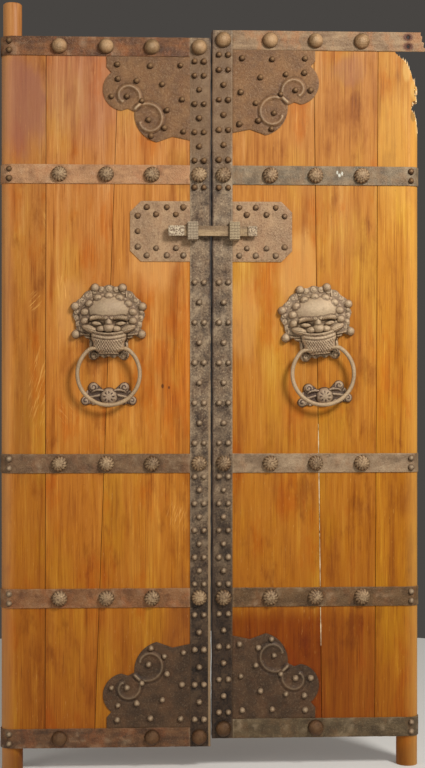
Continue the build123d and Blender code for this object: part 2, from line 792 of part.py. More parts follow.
os.makedirs("parts", exist_ok=True)
for leaf in (left, right):
    make_boards(leaf)
    make_stile(leaf)
    make_battens(leaf)

    make_edge_plate(leaf)
    for number, height in enumerate(leaf.strap_heights, start=1):
        if leaf is right and number == 1:
            make_loose_strap(leaf, number, height)
        else:
            make_bent_strap(leaf, number, height)
    for place in ("top", "bottom"):
        make_corner_plate(leaf, place)

    make_plain_studs(leaf)
    make_embossed_studs(leaf)
    make_nails(edge_nail_places(leaf), f"{leaf.name}_edge_plate_nails")
    corner_places = [corner_point(leaf, place, point) for place in ("top", "bottom") for point in corner_nails]
    make_nails(corner_places, f"{leaf.name}_corner_plate_nails")
    make_nails(lock_nail_places(leaf), f"{leaf.name}_lock_plate_nails")
    nailed_straps = leaf.strap_heights if leaf is left else leaf.strap_heights[1:]
    strap_end_places = [place for height in nailed_straps for place in strap_end_nail_places(leaf, height)]
    make_nails(strap_end_places, f"{leaf.name}_strap_end_nails")

    make_lock_plate(leaf)
    make_keeper(leaf)
    make_mask(leaf)
    make_ring(leaf)
    make_striker(leaf)
make_bolt_bar()
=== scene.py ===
import json
import math
import random

import bmesh
import bpy
import numpy as np
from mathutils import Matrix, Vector, geometry


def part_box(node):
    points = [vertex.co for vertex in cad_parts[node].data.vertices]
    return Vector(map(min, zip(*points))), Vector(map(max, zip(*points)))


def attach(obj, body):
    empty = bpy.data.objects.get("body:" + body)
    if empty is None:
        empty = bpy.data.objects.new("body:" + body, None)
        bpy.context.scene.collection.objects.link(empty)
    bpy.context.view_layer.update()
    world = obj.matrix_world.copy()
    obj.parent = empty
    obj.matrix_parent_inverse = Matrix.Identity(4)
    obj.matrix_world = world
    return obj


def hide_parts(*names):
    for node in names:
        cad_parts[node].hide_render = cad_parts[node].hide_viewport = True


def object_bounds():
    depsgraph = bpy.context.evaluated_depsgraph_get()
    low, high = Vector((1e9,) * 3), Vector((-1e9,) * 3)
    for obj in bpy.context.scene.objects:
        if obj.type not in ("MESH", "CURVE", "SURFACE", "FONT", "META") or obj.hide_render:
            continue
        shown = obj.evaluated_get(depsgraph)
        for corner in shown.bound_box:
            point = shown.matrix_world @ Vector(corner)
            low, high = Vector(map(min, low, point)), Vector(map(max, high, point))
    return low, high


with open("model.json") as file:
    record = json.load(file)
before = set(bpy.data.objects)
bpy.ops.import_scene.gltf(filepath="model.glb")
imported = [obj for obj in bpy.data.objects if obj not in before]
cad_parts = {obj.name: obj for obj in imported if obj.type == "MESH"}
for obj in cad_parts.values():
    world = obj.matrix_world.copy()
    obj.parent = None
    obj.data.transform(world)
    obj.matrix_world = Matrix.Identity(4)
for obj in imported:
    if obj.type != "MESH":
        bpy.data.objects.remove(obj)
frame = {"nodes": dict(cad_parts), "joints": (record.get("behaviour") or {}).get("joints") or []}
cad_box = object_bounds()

# Looks for a pair of old boarded gate leaves with iron fittings. Metres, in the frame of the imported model:
# X to the viewer's right, Y away from the viewer, Z up.

OUTWARD = {"left": -1, "right": 1}  # each leaf's side of the pair, along X
ROOT = "leaves"
WOOD, IRON = "varnished_wood", "old_iron"
MM = 0.001

wood_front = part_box("left_middle_board")[0].y
iron_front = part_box("left_edge_plate")[0].y
iron_thickness = wood_front - iron_front
board_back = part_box("left_middle_board")[1].y
leaf_low = {leaf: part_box(f"{leaf}_edge_plate")[0].z for leaf in OUTWARD}
leaf_high = {leaf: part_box(f"{leaf}_edge_plate")[1].z for leaf in OUTWARD}
meeting_x = {"left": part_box("left_edge_plate")[1].x, "right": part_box("right_edge_plate")[0].x}


# Small tools for shapes

def ease(value, low, high):
    """0 below low, 1 above high, smooth between."""
    t = np.clip((value - low) / (high - low), 0.0, 1.0)
    return t * t * (3 - 2 * t)


def rough(x, y, size, seed):
    """Smooth random heights from -1 to 1, with bumps about size across."""
    px, py = np.asarray(x) / size, np.asarray(y) / size
    ix, iy = np.floor(px), np.floor(py)
    fx, fy = px - ix, py - iy
    fx, fy = fx * fx * (3 - 2 * fx), fy * fy * (3 - 2 * fy)

    def corner(i, j):
        value = np.sin((ix + i) * 127.1 + (iy + j) * 311.7 + seed * 74.7) * 43758.5453
        return 2 * (value - np.floor(value)) - 1

    low = corner(0, 0) * (1 - fx) + corner(1, 0) * fx
    high = corner(0, 1) * (1 - fx) + corner(1, 1) * fx
    return low * (1 - fy) + high * fy


def smooth_max(a, b, blend):
    """The higher of two height fields, with a fillet about blend wide where they meet."""
    h = np.clip(0.5 + 0.5 * (a - b) / blend, 0.0, 1.0)
    return b * (1 - h) + a * h + blend * h * (1 - h)


def fade(*offsets):
    """1 where every offset is 0, falling softly to 0 as one grows past 1."""
    return np.exp(-sum(offset**2 for offset in offsets))


def dome(x, y, cx, cy, rx, ry, base, top, power=0.5):
    """A domed mound over an oval, and far below everything outside it."""
    d = ((x - cx) / rx) ** 2 + ((y - cy) / ry) ** 2
    inside = np.clip(1 - d, 0.0, 1.0)
    return np.where(d < 1, base + (top - base) * inside**power, -1.0)


def ridge_along(x, y, cx, cy, start, end, turns_from, turns_to, width):
    """1 on a curl whose radius runs from start to end between two angles, falling to 0 beside it."""
    radius = np.hypot(x - cx, y - cy)
    angle = np.arctan2(y - cy, x - cx)
    found = np.zeros_like(radius)
    low, high = min(turns_from, turns_to), max(turns_from, turns_to)
    for lap in range(-2, 3):
        a = angle + 2 * math.pi * lap
        t = (a - turns_from) / (turns_to - turns_from)
        line = start + (end - start) * np.clip(t, 0, 1)
        ends = ease(a, low - 0.15, low + 0.2) * (1 - ease(a, high - 0.2, high + 0.15))
        found = np.maximum(found, ends * fade((radius - line) / width))
    return found


def placed(name, data):
    """A new object in the scene."""
    obj = bpy.data.objects.new(name, data)
    bpy.context.scene.collection.objects.link(obj)
    return obj


def piece(name, vertices, faces, node, body=ROOT, crease=38.0, wear_and_shade=None):
    """Makes a mesh, closes it the right way out and lets it ride on its body in place of a node."""
    mesh = bpy.data.meshes.new(name)
    mesh.from_pydata([tuple(v) for v in vertices], [], [tuple(f) for f in faces])
    work = bmesh.new()
    work.from_mesh(mesh)
    bmesh.ops.recalc_face_normals(work, faces=work.faces)
    work.to_mesh(mesh)
    work.free()
    mesh.polygons.foreach_set("use_smooth", [True] * len(mesh.polygons))
    mesh.set_sharp_from_angle(angle=math.radians(crease))
    if wear_and_shade is not None:
        layer = mesh.attributes.new("wear_and_shade", "FLOAT", "POINT")
        layer.data.foreach_set("value", np.asarray(wear_and_shade, np.float32))
    obj = placed(name, mesh)
    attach(obj, body)
    if node:
        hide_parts(node)
    return obj


def front_place(x, z, h):
    """Points at x and z that stand h out from the boards."""
    return np.stack([x, wood_front - h, z], axis=-1)


def welded(node):
    """A node's corner points without doubles, and its faces over them."""
    mesh = frame["nodes"][node].data
    places, index = {}, []
    for vertex in mesh.vertices:
        key = tuple(round(c, 5) for c in vertex.co)
        index.append(places.setdefault(key, len(places)))
    return list(places), [[index[v] for v in face.vertices] for face in mesh.polygons]


def islands(node):
    """The box of each separate solid in a node."""
    points, faces = welded(node)
    parent = list(range(len(points)))

    def root(i):
        while parent[i] != i:
            parent[i] = parent[parent[i]]
            i = parent[i]
        return i

    for face in faces:
        for other in face[1:]:
            parent[root(other)] = root(face[0])
    groups = {}
    for i, point in enumerate(points):
        groups.setdefault(root(i), []).append(point)
    boxes = [(Vector(map(min, *group)), Vector(map(max, *group))) for group in groups.values()]
    return sorted(boxes, key=lambda b: (round(b[0].z, 3), round(b[0].x, 3)))


def edge_users(faces):
    """For each edge, the numbers of the faces that have it, with the edge in each face's direction."""
    users = {}
    for number, face in enumerate(faces):
        for i, j in zip(face, face[1:] + face[:1]):
            users.setdefault(frozenset((i, j)), []).append((number, (i, j)))
    return users


def border_edges(faces):
    """The edges that only one of the faces has, each in that face's direction."""
    return [users[0][1] for users in edge_users(faces).values() if len(users) == 1]


def trace(after, start):
    """The closed run of points on which each is followed by the one that after names."""
    loop = [start]
    while after[loop[-1]] != start:
        loop.append(after[loop[-1]])
    return loop


def band_faces(first, sides, rings):
    """Faces between rings of points that follow each other, each ring closed on itself."""
    faces = []
    for a in range(first, first + (rings - 1) * sides, sides):
        b = a + sides
        faces += [(a + j, a + (j + 1) % sides, b + (j + 1) % sides, b + j) for j in range(sides)]
    return faces


def cap_faces(first, beyond, sides):
    """The two faces that close a run of rings, which ends just before the point beyond."""
    return [[end + n for n in range(sides)] for end in (first, beyond - sides)]


def back_outline(node):
    """The outline, as x and z, of the flat back that a plate lays on the boards."""
    points, faces = welded(node)
    back = max(p[1] for p in points)
    after = dict(border_edges([f for f in faces if all(abs(points[i][1] - back) < 1e-5 for i in f)]))
    return [(points[i][0], points[i][2]) for i in trace(after, min(after))]


def resample(loop, step):
    """A closed outline with a point at every corner and about every step between."""
    found = []
    for (x0, y0), (x1, y1) in zip(loop, loop[1:] + loop[:1]):
        count = max(1, round(math.hypot(x1 - x0, y1 - y0) / step))
        found += [(x0 + (x1 - x0) * k / count, y0 + (y1 - y0) * k / count) for k in range(count)]
    return found


def distance_inside(x, y, loop):
    """How far each point lies inside an outline, and below 0 outside it."""
    nearest = np.full(x.shape, 1e9)
    inside = np.zeros(x.shape, bool)
    for (x0, y0), (x1, y1) in zip(loop, loop[1:] + loop[:1]):
        dx, dy = x1 - x0, y1 - y0
        t = np.clip(((x - x0) * dx + (y - y0) * dy) / max(dx * dx + dy * dy, 1e-12), 0, 1)
        nearest = np.minimum(nearest, np.hypot(x - x0 - t * dx, y - y0 - t * dy))
        if y0 != y1:
            crosses = (y0 > y) != (y1 > y)
            inside ^= crosses & (x < x0 + dx * (y - y0) / dy)
    return np.where(inside, nearest, -nearest)


def relief(name, node, outline, height, step, rim=0.0022, rim_width=0.003, place=front_place, recess=0.004):
    """A plate with a flat back whose front follows height(x, y), let down to rim at its outline.

    step is the size of the mesh's cells. Points lower than those recess away from them count as hollows."""
    loop = resample(outline, step)
    xs, ys = np.array(loop).T
    cols = np.arange(xs.min(), xs.max(), step)
    rows = np.arange(ys.min(), ys.max(), step * 0.866)  # for triangles with equal sides
    gx, gy = np.meshgrid(cols, rows)
    gx = gx + (np.arange(len(rows)) % 2)[:, None] * step / 2
    gx, gy = gx.ravel(), gy.ravel()
    keep = distance_inside(gx, gy, outline) > step * 0.6
    points = [Vector(p) for p in loop] + [Vector(p) for p in zip(gx[keep], gy[keep])]
    cut = geometry.delaunay_2d_cdt(points, [], [list(range(len(loop)))], 1, 1e-7)
    flat = np.array([tuple(p) for p in cut[0]])
    x, y = flat[:, 0], flat[:, 1]
    inset = ease(distance_inside(x, y, outline), 0.0, rim_width)
    h = height(x, y)
    full_wear = 0.003  # above its surroundings; where heights are millimetres, this parts ridges from hollows
    turns = np.linspace(0, 2 * math.pi, 9)[:8]
    around = [height(x + recess * math.cos(a), y + recess * math.sin(a)) for a in turns]
    wear_and_shade = np.clip(0.5 + (h - np.mean(around, axis=0)) / full_wear, 0, 1)
    h = rim + (h - rim) * inset
    border = border_edges(cut[2])
    back = {i: len(flat) + k for k, i in enumerate(sorted({i for edge in border for i in edge}))}
    front = place(x, y, h)
    low = sorted(back)
    foot = place(x[low], y[low], np.zeros(len(low)))
    faces = [list(f) for f in cut[2]] + [(i, j, back[j], back[i]) for i, j in border]
    faces.append([back[i] for i in trace(dict(border), border[0][0])])
    wear_and_shade = np.concatenate([wear_and_shade, np.full(len(low), 0.3)])
    return piece(name, np.concatenate([front, foot]), faces, node, wear_and_shade=wear_and_shade)


def hammered(x, z, *waves):
    """Heights over a flat iron plate, with waves given as (height, size, seed)."""
    h = iron_thickness
    for height, size, seed in waves:
        h = h + height * rough(x, z, size, seed)
    return h


def bent_sheet(name, node, path, low, high, seed, dents=0.0005):
    """Sheet iron along a path in plan, between two heights, hammered uneven and nicked along its edges."""
    cell, edge_row = 0.007, 0.0012  # heights of the mesh's rows, and of the first and the last one
    rounding, nicks = 0.0009, 0.0008  # depths to which the edges fall back and are nicked
    points = [Vector(path[0])]
    for a, b in zip(path, path[1:]):
        a, b = Vector(a), Vector(b)
        count = max(1, round((b - a).length / cell))
        points += [a.lerp(b, k / count) for k in range(1, count + 1)]
    along = np.array([tuple(p) for p in points])
    step = np.gradient(along, axis=0)
    step /= np.linalg.norm(step, axis=1)[:, None]
    normal = np.stack([step[:, 1], -step[:, 0]], axis=1)
    if normal[0, 1] > 0:
        normal = -normal
    run = np.concatenate([[0], np.cumsum(np.linalg.norm(np.diff(along, axis=0), axis=1))])
    levels = [low, low + edge_row]
    levels += list(np.linspace(low + cell, high - cell, max(2, round((high - low) / cell) - 1)))
    levels += [high - edge_row, high]
    z, s = np.meshgrid(np.array(levels), run, indexing="ij")
    lift = dents * (rough(s, z, 0.021, seed) + 0.6 * rough(s, z, 0.009, seed + 3))
    edge = np.ones(lift.shape, bool)
    edge[1:-1, 1:-1] = False
    lift = np.where(edge, -rounding, lift)
    nick = nicks * (0.5 + 0.5 * rough(s, z * 0 + seed, 0.013, seed + 7))
    z[0] += nick[0]
    z[-1] -= nick[-1]
    skins = [
        np.stack([along[:, k] + normal[:, k] * rise for k in (0, 1)] + [z], axis=-1).reshape(-1, 3)
        for rise in (lift, 0 * z - iron_thickness)
    ]
    rows, cols = z.shape
    count = rows * cols
    skin = [[r + c, r + c + 1, r + cols + c + 1, r + cols + c]
            for r in range(0, count - cols, cols) for c in range(cols - 1)]
    faces = skin + [[count + face[n] for n in (0, 3, 2, 1)] for face in skin]
    faces += [(j, i, count + i, count + j) for i, j in border_edges(skin)]
    wear_and_shade = np.clip(0.5 + lift / dents * 0.35, 0, 1)
    wear_and_shade = np.where(edge, 0.9, wear_and_shade)
    wear_and_shade = np.concatenate([wear_and_shade.ravel(), np.full(count, 0.3)])
    return piece(name, np.concatenate(skins), faces, node, wear_and_shade=wear_and_shade)


def tube(name, node, body, path, radius, seed):
    """A round bar along a path, with thinner ends, closed and worn a little uneven."""
    path = [Vector(p) for p in path]
    sides, pin_share = 14, 0.72
    vertices, wear_and_shade = [], []
    across = None
    for k, point in enumerate(path):
        ahead = (path[min(k + 1, len(path) - 1)] - path[max(k - 1, 0)]).normalized()
        across = across or ahead.orthogonal()
        across = (across - ahead * across.dot(ahead)).normalized()
        up = ahead.cross(across)
        slim = pin_share if min(k, len(path) - 1 - k) < 2 else 1.0
        for j in range(sides):
            turn = 2 * math.pi * j / sides
            spot = across * math.cos(turn) + up * math.sin(turn)
            size = slim * radius * (1 + 0.05 * float(rough(k * 0.13, j * 0.9, 1.0, seed)))
            vertices.append(point + spot * min(size, radius * 1.02))
            wear_and_shade.append(0.55 + 0.45 * max(0.0, -spot.y))
    faces = band_faces(0, sides, len(path)) + cap_faces(0, len(vertices), sides)
    return piece(name, vertices, faces, node, body=body, wear_and_shade=wear_and_shade)


def heads(name, node, places, sides, rings, profile):
    """Nail or stud heads in one piece. profile(t, turn, k) gives head k's radius, height and wear value at
    share t of the way from rim to crown; on nail heads that value also carries painted highlight and painted
    shade."""
    vertices, faces, wear_and_shade = [], [], []
    for k, (cx, cz, base) in enumerate(places):
        first = len(vertices)
        for ring in range(rings):
            for j in range(sides):
                turn = 2 * math.pi * j / sides
                radius, h, head_wear_and_shade = profile(ring / rings, turn, k)
                vertices.append((cx + radius * math.cos(turn), base - h, cz + radius * math.sin(turn)))
                wear_and_shade.append(head_wear_and_shade)
        _, h, head_wear_and_shade = profile(1.0, 0.0, k)
        crown = len(vertices)
        vertices.append((cx, base - h, cz))
        wear_and_shade.append(head_wear_and_shade)
        faces += band_faces(first, sides, rings)
        last = first + (rings - 1) * sides
        faces += [(last + j, last + (j + 1) % sides, crown) for j in range(sides)]
        faces.append([first + j for j in range(sides)])
    return piece(name, vertices, faces, node, wear_and_shade=wear_and_shade)


# Materials

def srgb(*levels):
    """A colour given by screen levels from 0 to 255, as the linear colour that the shaders take."""
    values = [v / 255 for v in levels]
    return tuple(v / 12.92 if v <= 0.04045 else ((v + 0.055) / 1.055) ** 2.4 for v in values) + (1.0,)


def feed(socket, value):
    """Links an input to another node's output, or gives it a value."""
    if isinstance(value, bpy.types.NodeSocket):
        socket.id_data.links.new(value, socket)
    else:
        socket.default_value = value


def add_node(tree, kind, inputs=(), **settings):
    """A new node, with the values or links of its inputs given by their names or numbers."""
    made = tree.nodes.new(kind)
    for key, value in settings.items():
        setattr(made, key, value)
    for key, value in dict(inputs).items():
        feed(made.inputs[key], value)
    return made


class Graph:
    """A material and the nodes that make its look."""

    def __init__(self, name):
        self.material = bpy.data.materials.new(name)
        self.material.use_nodes = True
        self.tree = self.material.node_tree
        self.shader = self.tree.nodes["Principled BSDF"]
        self.place = self.node("ShaderNodeTexCoord").outputs["Object"]
        self.x, self.y, self.z = self.node("ShaderNodeSeparateXYZ", {0: self.place}).outputs

    def node(self, kind, inputs=(), **settings):
        return add_node(self.tree, kind, inputs, **settings)

    def math(self, operation, a, b=0.0):
        return self.node("ShaderNodeMath", {0: a, 1: b}, operation=operation).outputs[0]

    def plus(self, a, b):
        return self.math("ADD", a, b)

    def times(self, a, b):
        return self.math("MULTIPLY", a, b)

    def noise(self, scale, seed=0.0, detail=3.0, roughness=0.55, distortion=0.0, tilt=0.0):
        """Noise from 0 to 1 with its own waves per metre along X, Y and Z, turned about Y by tilt."""
        place = self.place
        if tilt:
            place = self.node("ShaderNodeMapping", {"Vector": place, "Rotation": (0.0, tilt, 0.0)}).outputs[0]
        shift = (seed * 3.7, seed * 1.9, seed * 5.3)
        waves = self.node("ShaderNodeMapping", {"Vector": place, "Scale": scale, "Location": shift})
        levels = {"Scale": 1.0, "Detail": detail, "Roughness": roughness, "Distortion": distortion}
        return self.node("ShaderNodeTexNoise", {"Vector": waves.outputs[0], **levels}).outputs["Fac"]

    def between(self, value, low, high, to_low=0.0, to_high=1.0):
        """value mapped smoothly from low..high to to_low..to_high."""
        ends = {"From Min": low, "From Max": high, "To Min": to_low, "To Max": to_high}
        made = self.node("ShaderNodeMapRange", {"Value": value, **ends}, interpolation_type="SMOOTHSTEP")
        return made.outputs[0]

    def mix(self, share, a, b, blend="MIX"):
        made = self.node("ShaderNodeMix", {0: share, 6: a, 7: b}, data_type="RGBA", blend_type=blend)
        return made.outputs[2]

    def tone(self, colour, value, low, high, amount, shade, blend="MULTIPLY"):
        """colour, multiplied or divided by a shade more and more as value goes from low to high."""
        toned = self.mix(1.0, colour, srgb(*shade), blend)
        return self.mix(self.between(value, low, high, 0.0, amount), colour, toned)

    def ramp(self, value, stops):
        made = self.node("ShaderNodeValToRGB", {0: value})
        elements = made.color_ramp.elements
        while len(elements) < len(stops):
            elements.new(0.5)
        for element, (place, colour) in zip(elements, stops):
            element.position = place
            element.color = colour
        return made.outputs[0]

    def spot(self, x, z, rx, rz, ragged=0.5, seed=0.0):
        """1 in a soft ragged patch about (x, z), 0 outside it."""
        dx = self.times(self.math("SUBTRACT", self.x, x), 1 / rx)
        dz = self.times(self.math("SUBTRACT", self.z, z), 1 / rz)
        d = self.math("SQRT", self.plus(self.times(dx, dx), self.times(dz, dz)))
        wobble = self.times(self.noise((26, 26, 9), seed=seed, detail=4), ragged * 2)
        return self.between(self.plus(d, wobble), 0.55 + ragged, 1.15 + ragged, 1.0, 0.0)

    def bump(self, height, distance):
        made = self.node("ShaderNodeBump", {"Height": height, "Distance": distance})
        feed(self.shader.inputs["Normal"], made.outputs[0])

    def surface(self, colour, roughness, metallic=0.0, specular=0.5):
        feed(self.shader.inputs["Base Color"], colour)
        feed(self.shader.inputs["Roughness"], roughness)
        feed(self.shader.inputs["Metallic"], metallic)
        feed(self.shader.inputs["Specular IOR Level"], specular)


ramp_height = 2.1  # over which the boards' tone goes from foot to head


def wood(name, seed, tint, red_foot=0.0, stains_and_hollow_shade=(), knots=(), painted_edge_highlight=None, scratched=()):
    """Honey-coloured varnished boards, with long grain, dark pores and scuffs, and on the stiles a painted
    highlight along the rounded outer edge.

    The stain patches are listed as (x, z, rx, rz, colour, strength), one of them near-black painted shade in
    a hollow of the broken corner; knots are (x, z, size), and scratched lists the patches of pale scratches
    as (x, z, rx, rz, slant, strength)."""
    g = Graph(name)
    drift = g.times(g.math("SUBTRACT", g.noise((5, 5, 1.2), seed), 0.5), 0.24)
    colour = g.ramp(g.plus(g.times(g.z, 1 / ramp_height), drift), (
        (0.03, srgb(150, 85, 21)), (0.28, srgb(170, 104, 29)), (0.5, srgb(186, 119, 42)),
        (0.72, srgb(186, 121, 50)), (0.93, srgb(176, 117, 62)),
    ))
    figure = g.noise((7, 7, 0.5), seed + 1, detail=2, distortion=0.4)
    bands = g.math("SINE", g.plus(g.times(g.x, 190.0), g.times(figure, 52.0)))
    streaks = g.noise((95, 95, 3.6), seed + 2, detail=5, roughness=0.62)
    broad = g.noise((22, 22, 2.2), seed + 4, detail=4, roughness=0.6)
    fibres = g.noise((420, 420, 9), seed + 3, detail=3)
    grain = g.plus(g.plus(g.times(bands, 0.022), g.times(streaks, 0.42)), g.times(broad, 0.58))
    patches = g.noise((9, 9, 3.4), seed + 5, detail=5, roughness=0.62)
    golden = g.noise((8, 8, 2.4), seed + 7, detail=4, roughness=0.55)
    smoky = g.noise((13, 13, 4.5), seed + 10, detail=5, roughness=0.65)
    for value, low, high, amount, shade, blend in (
        (grain, 0.5, 0.68, 0.8, (200, 172, 138), "MULTIPLY"),
        (grain, 0.5, 0.34, 0.85, (232, 214, 182), "DIVIDE"),
        (fibres, 0.53, 0.75, 0.6, (170, 138, 108), "MULTIPLY"),
        (fibres, 0.46, 0.3, 0.6, (226, 212, 200), "DIVIDE"),
        (patches, 0.53, 0.68, 0.8, (250, 214, 150), "MULTIPLY"),
        (patches, 0.46, 0.3, 0.7, (206, 182, 160), "MULTIPLY"),
        (golden, 0.5, 0.66, 0.75, (246, 226, 250), "DIVIDE"),
        (smoky, 0.56, 0.72, 0.7, (196, 172, 150), "MULTIPLY"),
        (g.z, 1.3, 0.55, 1.0, (255, 252, 216), "MULTIPLY"),
    ):
        colour = g.tone(colour, value, low, high, amount, shade, blend)
    if red_foot:
        front = g.between(g.y, wood_front + 0.02, wood_front + 0.01)
        share = g.times(g.times(g.between(g.z, 0.47, 0.40), front), red_foot)
        colour = g.mix(share, colour, g.mix(1.0, colour, srgb(202, 163, 54), "MULTIPLY"))
    for x, z, rx, rz, shade, strength in stains_and_hollow_shade:
        share = g.times(g.spot(x, z, rx, rz, seed=seed + x * 7), strength)
        colour = g.mix(share, colour, g.mix(0.75, colour, shade))
    for x, z, size in knots:
        share = g.times(g.spot(x, z, size, size * 1.7, 0.2, seed), 0.8)
        colour = g.mix(share, colour, srgb(74, 38, 16))
    for x, z, rx, rz, slant, strength in scratched:
        hatch = g.noise((300, 60, 17), seed + 14, detail=3, roughness=0.6, tilt=slant)
        hatch = g.between(hatch, 0.53, 0.66, 0.0, strength)
        share = g.times(g.spot(x, z, rx, rz, seed=seed + x * 3), hatch)
        colour = g.mix(share, colour, srgb(238, 180, 96))
    scuffs = g.noise((260, 260, 34), seed + 8, detail=4, roughness=0.7)
    colour = g.mix(g.between(scuffs, 0.63, 0.72, 0.0, 0.3), colour, srgb(226, 172, 100))
    scratches = g.noise((70, 70, 620), seed + 12, detail=3, roughness=0.6)
    colour = g.mix(g.between(scratches, 0.7, 0.75, 0.0, 0.5), colour, srgb(112, 60, 22))
    pits = g.noise((330, 330, 70), seed + 9, detail=4, roughness=0.7)
    pits = g.between(pits, 0.68, 0.77, 0.0, 0.8)
    colour = g.mix(pits, colour, srgb(92, 50, 22))
    # a painted highlight along the stile's rounded outer edge, growing towards the edge
    if painted_edge_highlight:
        pale = g.mix(0.6, colour, srgb(236, 174, 112))
        colour = g.mix(g.between(g.x, *painted_edge_highlight, 0.0, 0.7), colour, pale)
    colour = g.mix(1.0, colour, (*tint, 1.0), "MULTIPLY")
    g.surface(colour, g.between(g.noise((40, 40, 12), seed + 6), 0.3, 0.75, 0.4, 0.62), specular=0.16)
    lines = g.plus(g.times(streaks, 0.7), g.times(fibres, 0.35))
    g.bump(g.math("SUBTRACT", lines, g.times(pits, 0.8)), 0.0009)
    return g.material


def iron(name, light, dark, rust, seed, rust_share=0.4, pitted=0.6, foot_shade=None, shine=0.12, grime_and_shade=0.55,
         clouding=(17, 17, 17), marks_and_painted_shade=(), pale_top=0.5):
    """Old forged iron: tone drifting between light and dark, rust in clouds, pits, and pale high places: worn
    ones, and on nail heads a painted highlight.

    foot_shade gives the height where another tone starts, where it is full, and its colour. The list of marks
    gives
    places as (x, z, rx, rz, colour, strength): stains, rust and splashes, and painted shade in the gap
    between the leaves and in the torn strap's nail holes."""
    g = Graph(name)
    light, dark, rust = srgb(*light), srgb(*dark), srgb(*rust)
    clouds = g.noise(clouding, seed, detail=5, roughness=0.65)
    colour = g.mix(g.between(clouds, 0.34, 0.66), dark, light)
    rusty = g.noise((24, 24, 15), seed + 2, detail=5, roughness=0.7)
    colour = g.mix(g.between(rusty, 0.46, 0.66, 0.0, rust_share), colour, rust)
    mottle = g.noise((190, 190, 190), seed + 3, detail=5, roughness=0.72)
    colour = g.tone(colour, mottle, 0.5, 0.66, pitted, (138, 116, 96))
    pale = g.mix(0.5, colour, srgb(204, 178, 138))
    colour = g.mix(g.between(mottle, 0.47, 0.34, 0.0, pitted), colour, pale)
    # the wear value pales high places and darkens low ones: wear on ridges and edges, and on nail heads a
    # painted highlight on the crown and upper right and painted shade low on the lower left
    wear_and_shade = g.node("ShaderNodeAttribute", attribute_name="wear_and_shade").outputs["Fac"]
    colour = g.tone(colour, wear_and_shade, 0.5, 0.12, grime_and_shade, (118, 98, 84))
    pale = g.mix(0.6, colour, srgb(214, 186, 148))
    colour = g.mix(g.between(wear_and_shade, 0.55, 1.0, 0.0, pale_top), colour, pale)
    if foot_shade:
        start, full, shade = foot_shade
        share = g.plus(g.z, g.times(g.math("SUBTRACT", clouds, 0.5), 0.35))
        colour = g.tone(colour, share, start, full, 1.0, shade)
    for x, z, rx, rz, shade, strength in marks_and_painted_shade:
        share = g.times(g.spot(x, z, rx, rz, 0.3, seed + x * 5), strength)
        colour = g.mix(share, colour, srgb(*shade))
    g.surface(colour, g.between(clouds, 0.3, 0.7, 0.42, 0.66), shine, 0.35)
    g.bump(g.plus(mottle, g.times(g.noise((330, 330, 330), seed + 4, detail=3), 0.35)), 0.0022)
    return g.material


def paint(obj, material):
    """Puts a material in all of an object's slots."""
    if not obj.material_slots:
        obj.data.materials.append(material)
    for slot in obj.material_slots:
        slot.material = material


def keep(node, material, slot, bevel, segments=2):
    """Shows a CAD node as it is, with softened edges and a material."""
    obj = frame["nodes"][node]
    paint(obj, material)
    weld = obj.modifiers.new("weld", "WELD")
    weld.merge_threshold = 0.00002
    soft = obj.modifiers.new("edges", "BEVEL")
    soft.width = bevel
    soft.segments = segments
    soft.limit_method = "ANGLE"
    soft.angle_limit = math.radians(35)


# Wood: each board with its own grain, tone and stains

